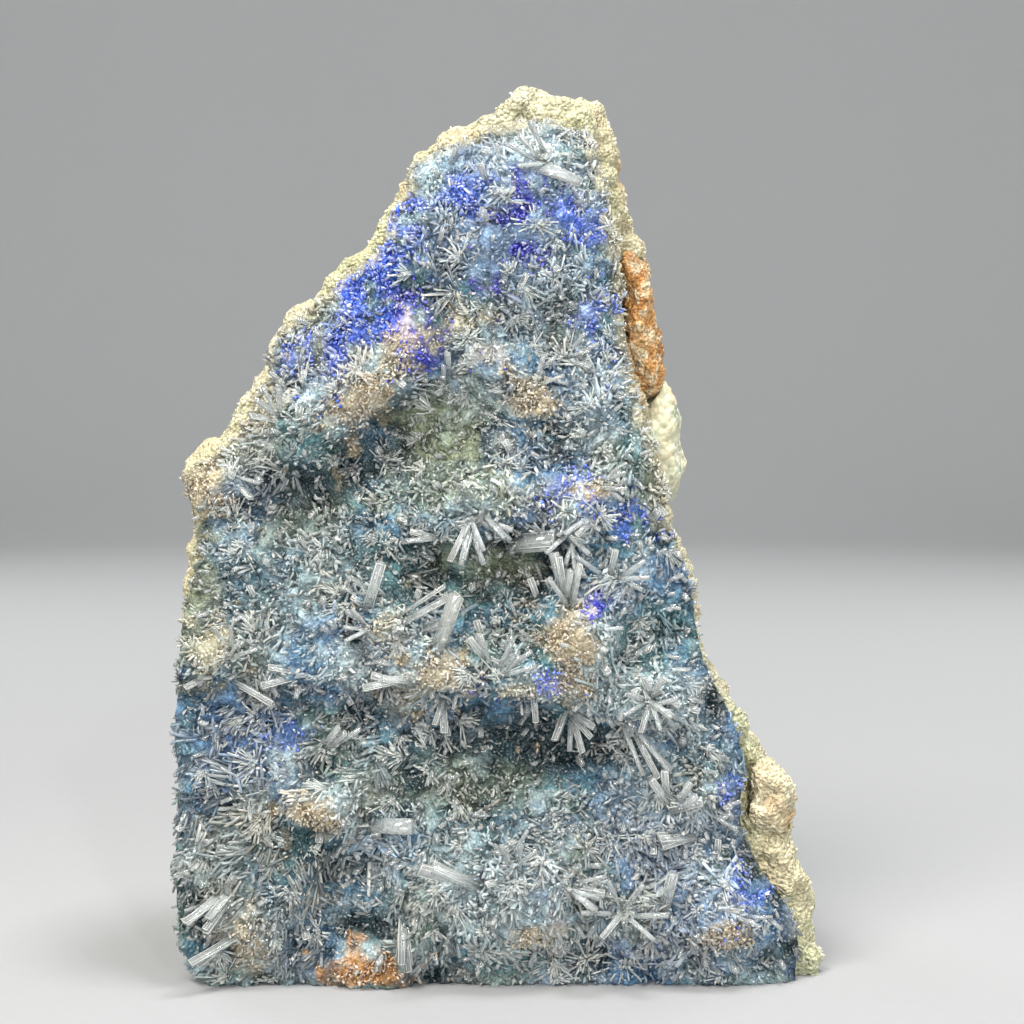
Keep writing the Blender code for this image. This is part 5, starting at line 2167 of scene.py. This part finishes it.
FLANK_MASSES = (
    MineralMass(
        "limonite_seam", "limonite_mass", LIMONITE, "limonite", 0.34, 2.2, 0.9, 0.55,
        (Tint.LIMONITE, Tint.TAN, Tint.RUST), 0.2,
    ),
    MineralMass(
        "calcite_lobe_upper", "calcite_lumps_upper", CALCITE, "calcite", 0.38, 2.8, 0.6, 0.12,
        (Tint.PALE_GREEN, Tint.CREAM, Tint.LIMONITE), 0.05,
    ),
    MineralMass(
        "calcite_lobe_lower", "calcite_lumps_lower", HOST_ROCK, "calcite", 0.34, 2.2, 1.0, 0.5,
        (Tint.CREAM, Tint.TAN, Tint.LIMONITE), 0.25,
    ),
)


@dataclass(frozen=True)
class Softbox:
    """A square studio light.

    Args:
        place: Where it stands, in millimetres.
        size: Its side in millimetres.
        power: Its power in watts.
        tint: Its linear colour.
        aim: The point that it faces, in millimetres.
    """

    place: tuple[float, float, float]
    size: float
    power: float
    tint: tuple[float, float, float] = (1.0, 1.0, 1.0)
    aim: tuple[float, float, float] = (0.0, 0.0, 62.0)


SOFTBOXES = {
    "key": Softbox((-200, -300, 540), 280, 4.8, (1.0, 0.97, 0.92)),
    "fill": Softbox((430, -430, 200), 340, 0.9, (0.95, 0.98, 1.0)),
    "front": Softbox((-60, -640, 160), 300, 1.7, (0.97, 0.98, 1.0)),
    "top": Softbox((120, -60, 560), 140, 2.2),
    "back_left": Softbox((-420, 380, 300), 300, 1.2),
    "back_right": Softbox((430, 330, 260), 300, 1.2),
    "backdrop": Softbox((0, 300, 520), 300, 2.5, aim=(0, 1000, 260)),
    "spark": Softbox((150, -520, 330), 26, 0.8),
}


def shader_colour(tree: bpy.types.NodeTree, colour: tuple[float, float, float]) -> bpy.types.NodeSocket:
    """Adds a plain colour.

    Args:
        tree: The material's nodes.
        colour: The linear colour.

    Returns:
        The colour, for other nodes.
    """
    node = tree.nodes.new("ShaderNodeRGB")
    node.outputs["Color"].default_value = (*colour, 1)
    return node.outputs["Color"]


@dataclass
class Studio:
    """The pale floor, the lights and the camera.

    Args:
        lens: The camera's focal length in millimetres, on a sensor 36 mm wide.
        view_width: How much of the plate's plane the picture takes in.
        aim: The point at the middle of the picture.
        elevation: How far above the plate's middle the camera looks from, in degrees.
        bowl: The radius of the level floor.
        sweep: The radius of its curve upwards, as a share of the bowl.
        grey: The floor's linear colour.
        surround: The surround's linear colour.
        surround_strength: How bright the surround is.
    """

    lens: float = 70.0
    view_width: float = 136.0
    aim: tuple[float, float, float] = (1.1, -9.0, 62.6)
    elevation: float = 4.0
    bowl: float = 700.0
    sweep: float = 0.45
    grey: tuple[float, float, float] = (0.35, 0.355, 0.36)
    surround: tuple[float, float, float] = (0.86, 0.88, 0.9)
    surround_strength: float = 0.19

    def camera(self) -> None:
        """Sets the camera at the photograph's viewing angle."""
        data = bpy.data.cameras.new("camera")
        data.lens = self.lens
        data.sensor_width = 36.0
        data.clip_start = 0.01
        camera = linked("camera", data)
        away = self.view_width * self.lens / data.sensor_width
        up = math.radians(self.elevation)
        offset = Vector((0, -math.cos(up), math.sin(up))) * away
        camera.location = (Vector(self.aim) + offset) * MM
        camera.rotation_euler = (-offset).to_track_quat("-Z", "Y").to_euler()
        bpy.context.scene.camera = camera

    def lights(self) -> None:
        """Sets the softboxes and a dim pale surround."""
        for name, box in SOFTBOXES.items():
            data = bpy.data.lights.new(name, "AREA")
            data.shape = "SQUARE"
            data.size = box.size * MM
            data.energy = box.power
            data.color = box.tint
            light = linked(name, data)
            light.location = Vector(box.place) * MM
            towards = Vector(box.aim) - Vector(box.place)
            light.rotation_euler = towards.to_track_quat("-Z", "Y").to_euler()
        world = bpy.data.worlds.new("surround")
        world.use_nodes = True
        background = world.node_tree.nodes["Background"]
        background.inputs["Color"].default_value = (*self.surround, 1)
        background.inputs["Strength"].default_value = self.surround_strength
        bpy.context.scene.world = world

    def floor(self) -> None:
        """Lays a pale floor that curves up into a backdrop all round."""
        bend, bowl = self.sweep, self.bowl
        rings = [(0.5, 0.0), (1.0, 0.0)]
        rings += [(1 + bend * math.sin(a), bend - bend * math.cos(a)) for a in np.radians(range(10, 91, 10))]
        rings.append((1 + bend, 2.0))
        turns = np.radians(np.arange(0, 360, 7.5))
        points = [(r * bowl * math.cos(t), r * bowl * math.sin(t), h * bowl) for r, h in rings for t in turns]
        count = len(turns)
        here = np.arange(count)
        after = (here + 1) % count
        ring = np.stack([after, here, count + here, count + after], axis=1)
        walls = [ring + k * count for k in range(len(rings) - 1)]
        mesh = mesh_from("floor", np.array(points), [*walls, here[None]])
        shade_smooth(mesh)
        material = bpy.data.materials.new("pale_floor")
        shader = shader_in(material)
        shader.inputs["Roughness"].default_value = 0.9
        tree = material.node_tree
        speckle = mottled(tree, shader_colour(tree, self.grey), noise_node(tree, 2.0), 0.01)
        tree.links.new(speckle, shader.inputs["Base Color"])
        mesh.materials.append(material)
        linked("floor", mesh)

    def light_paths(self) -> None:
        """Keeps full colour contrast, and follows light through the crystals only as far as it shows."""
        scene = bpy.context.scene
        scene.view_settings.view_transform = "Standard"
        scene.cycles.max_bounces = 10
        scene.cycles.diffuse_bounces = 4
        scene.cycles.glossy_bounces = 2
        scene.cycles.transmission_bounces = 8
        scene.cycles.use_light_tree = False

    def build(self) -> None:
        """Sets up the whole studio."""
        self.light_paths()
        self.camera()
        self.lights()
        self.floor()


def main() -> None:
    """Builds the specimen and the studio."""
    logging.basicConfig(level=logging.INFO, format="%(name)s: %(message)s")
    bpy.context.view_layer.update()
    Studio().build()
    relief = BedRelief(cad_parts["aragonite_crust"])
    colours = BedColours(relief)
    CrystalBed(relief, colours).build()
    NeedleDruse(relief, colours).build()
    ClearPrisms(relief, colours).build()
    Granules(relief, colours).build()
    RimCrystals(HostRock().build()).build()
    for mass in FLANK_MASSES:
        mass.build()
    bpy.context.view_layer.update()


if __name__ == "__main__":
    main()
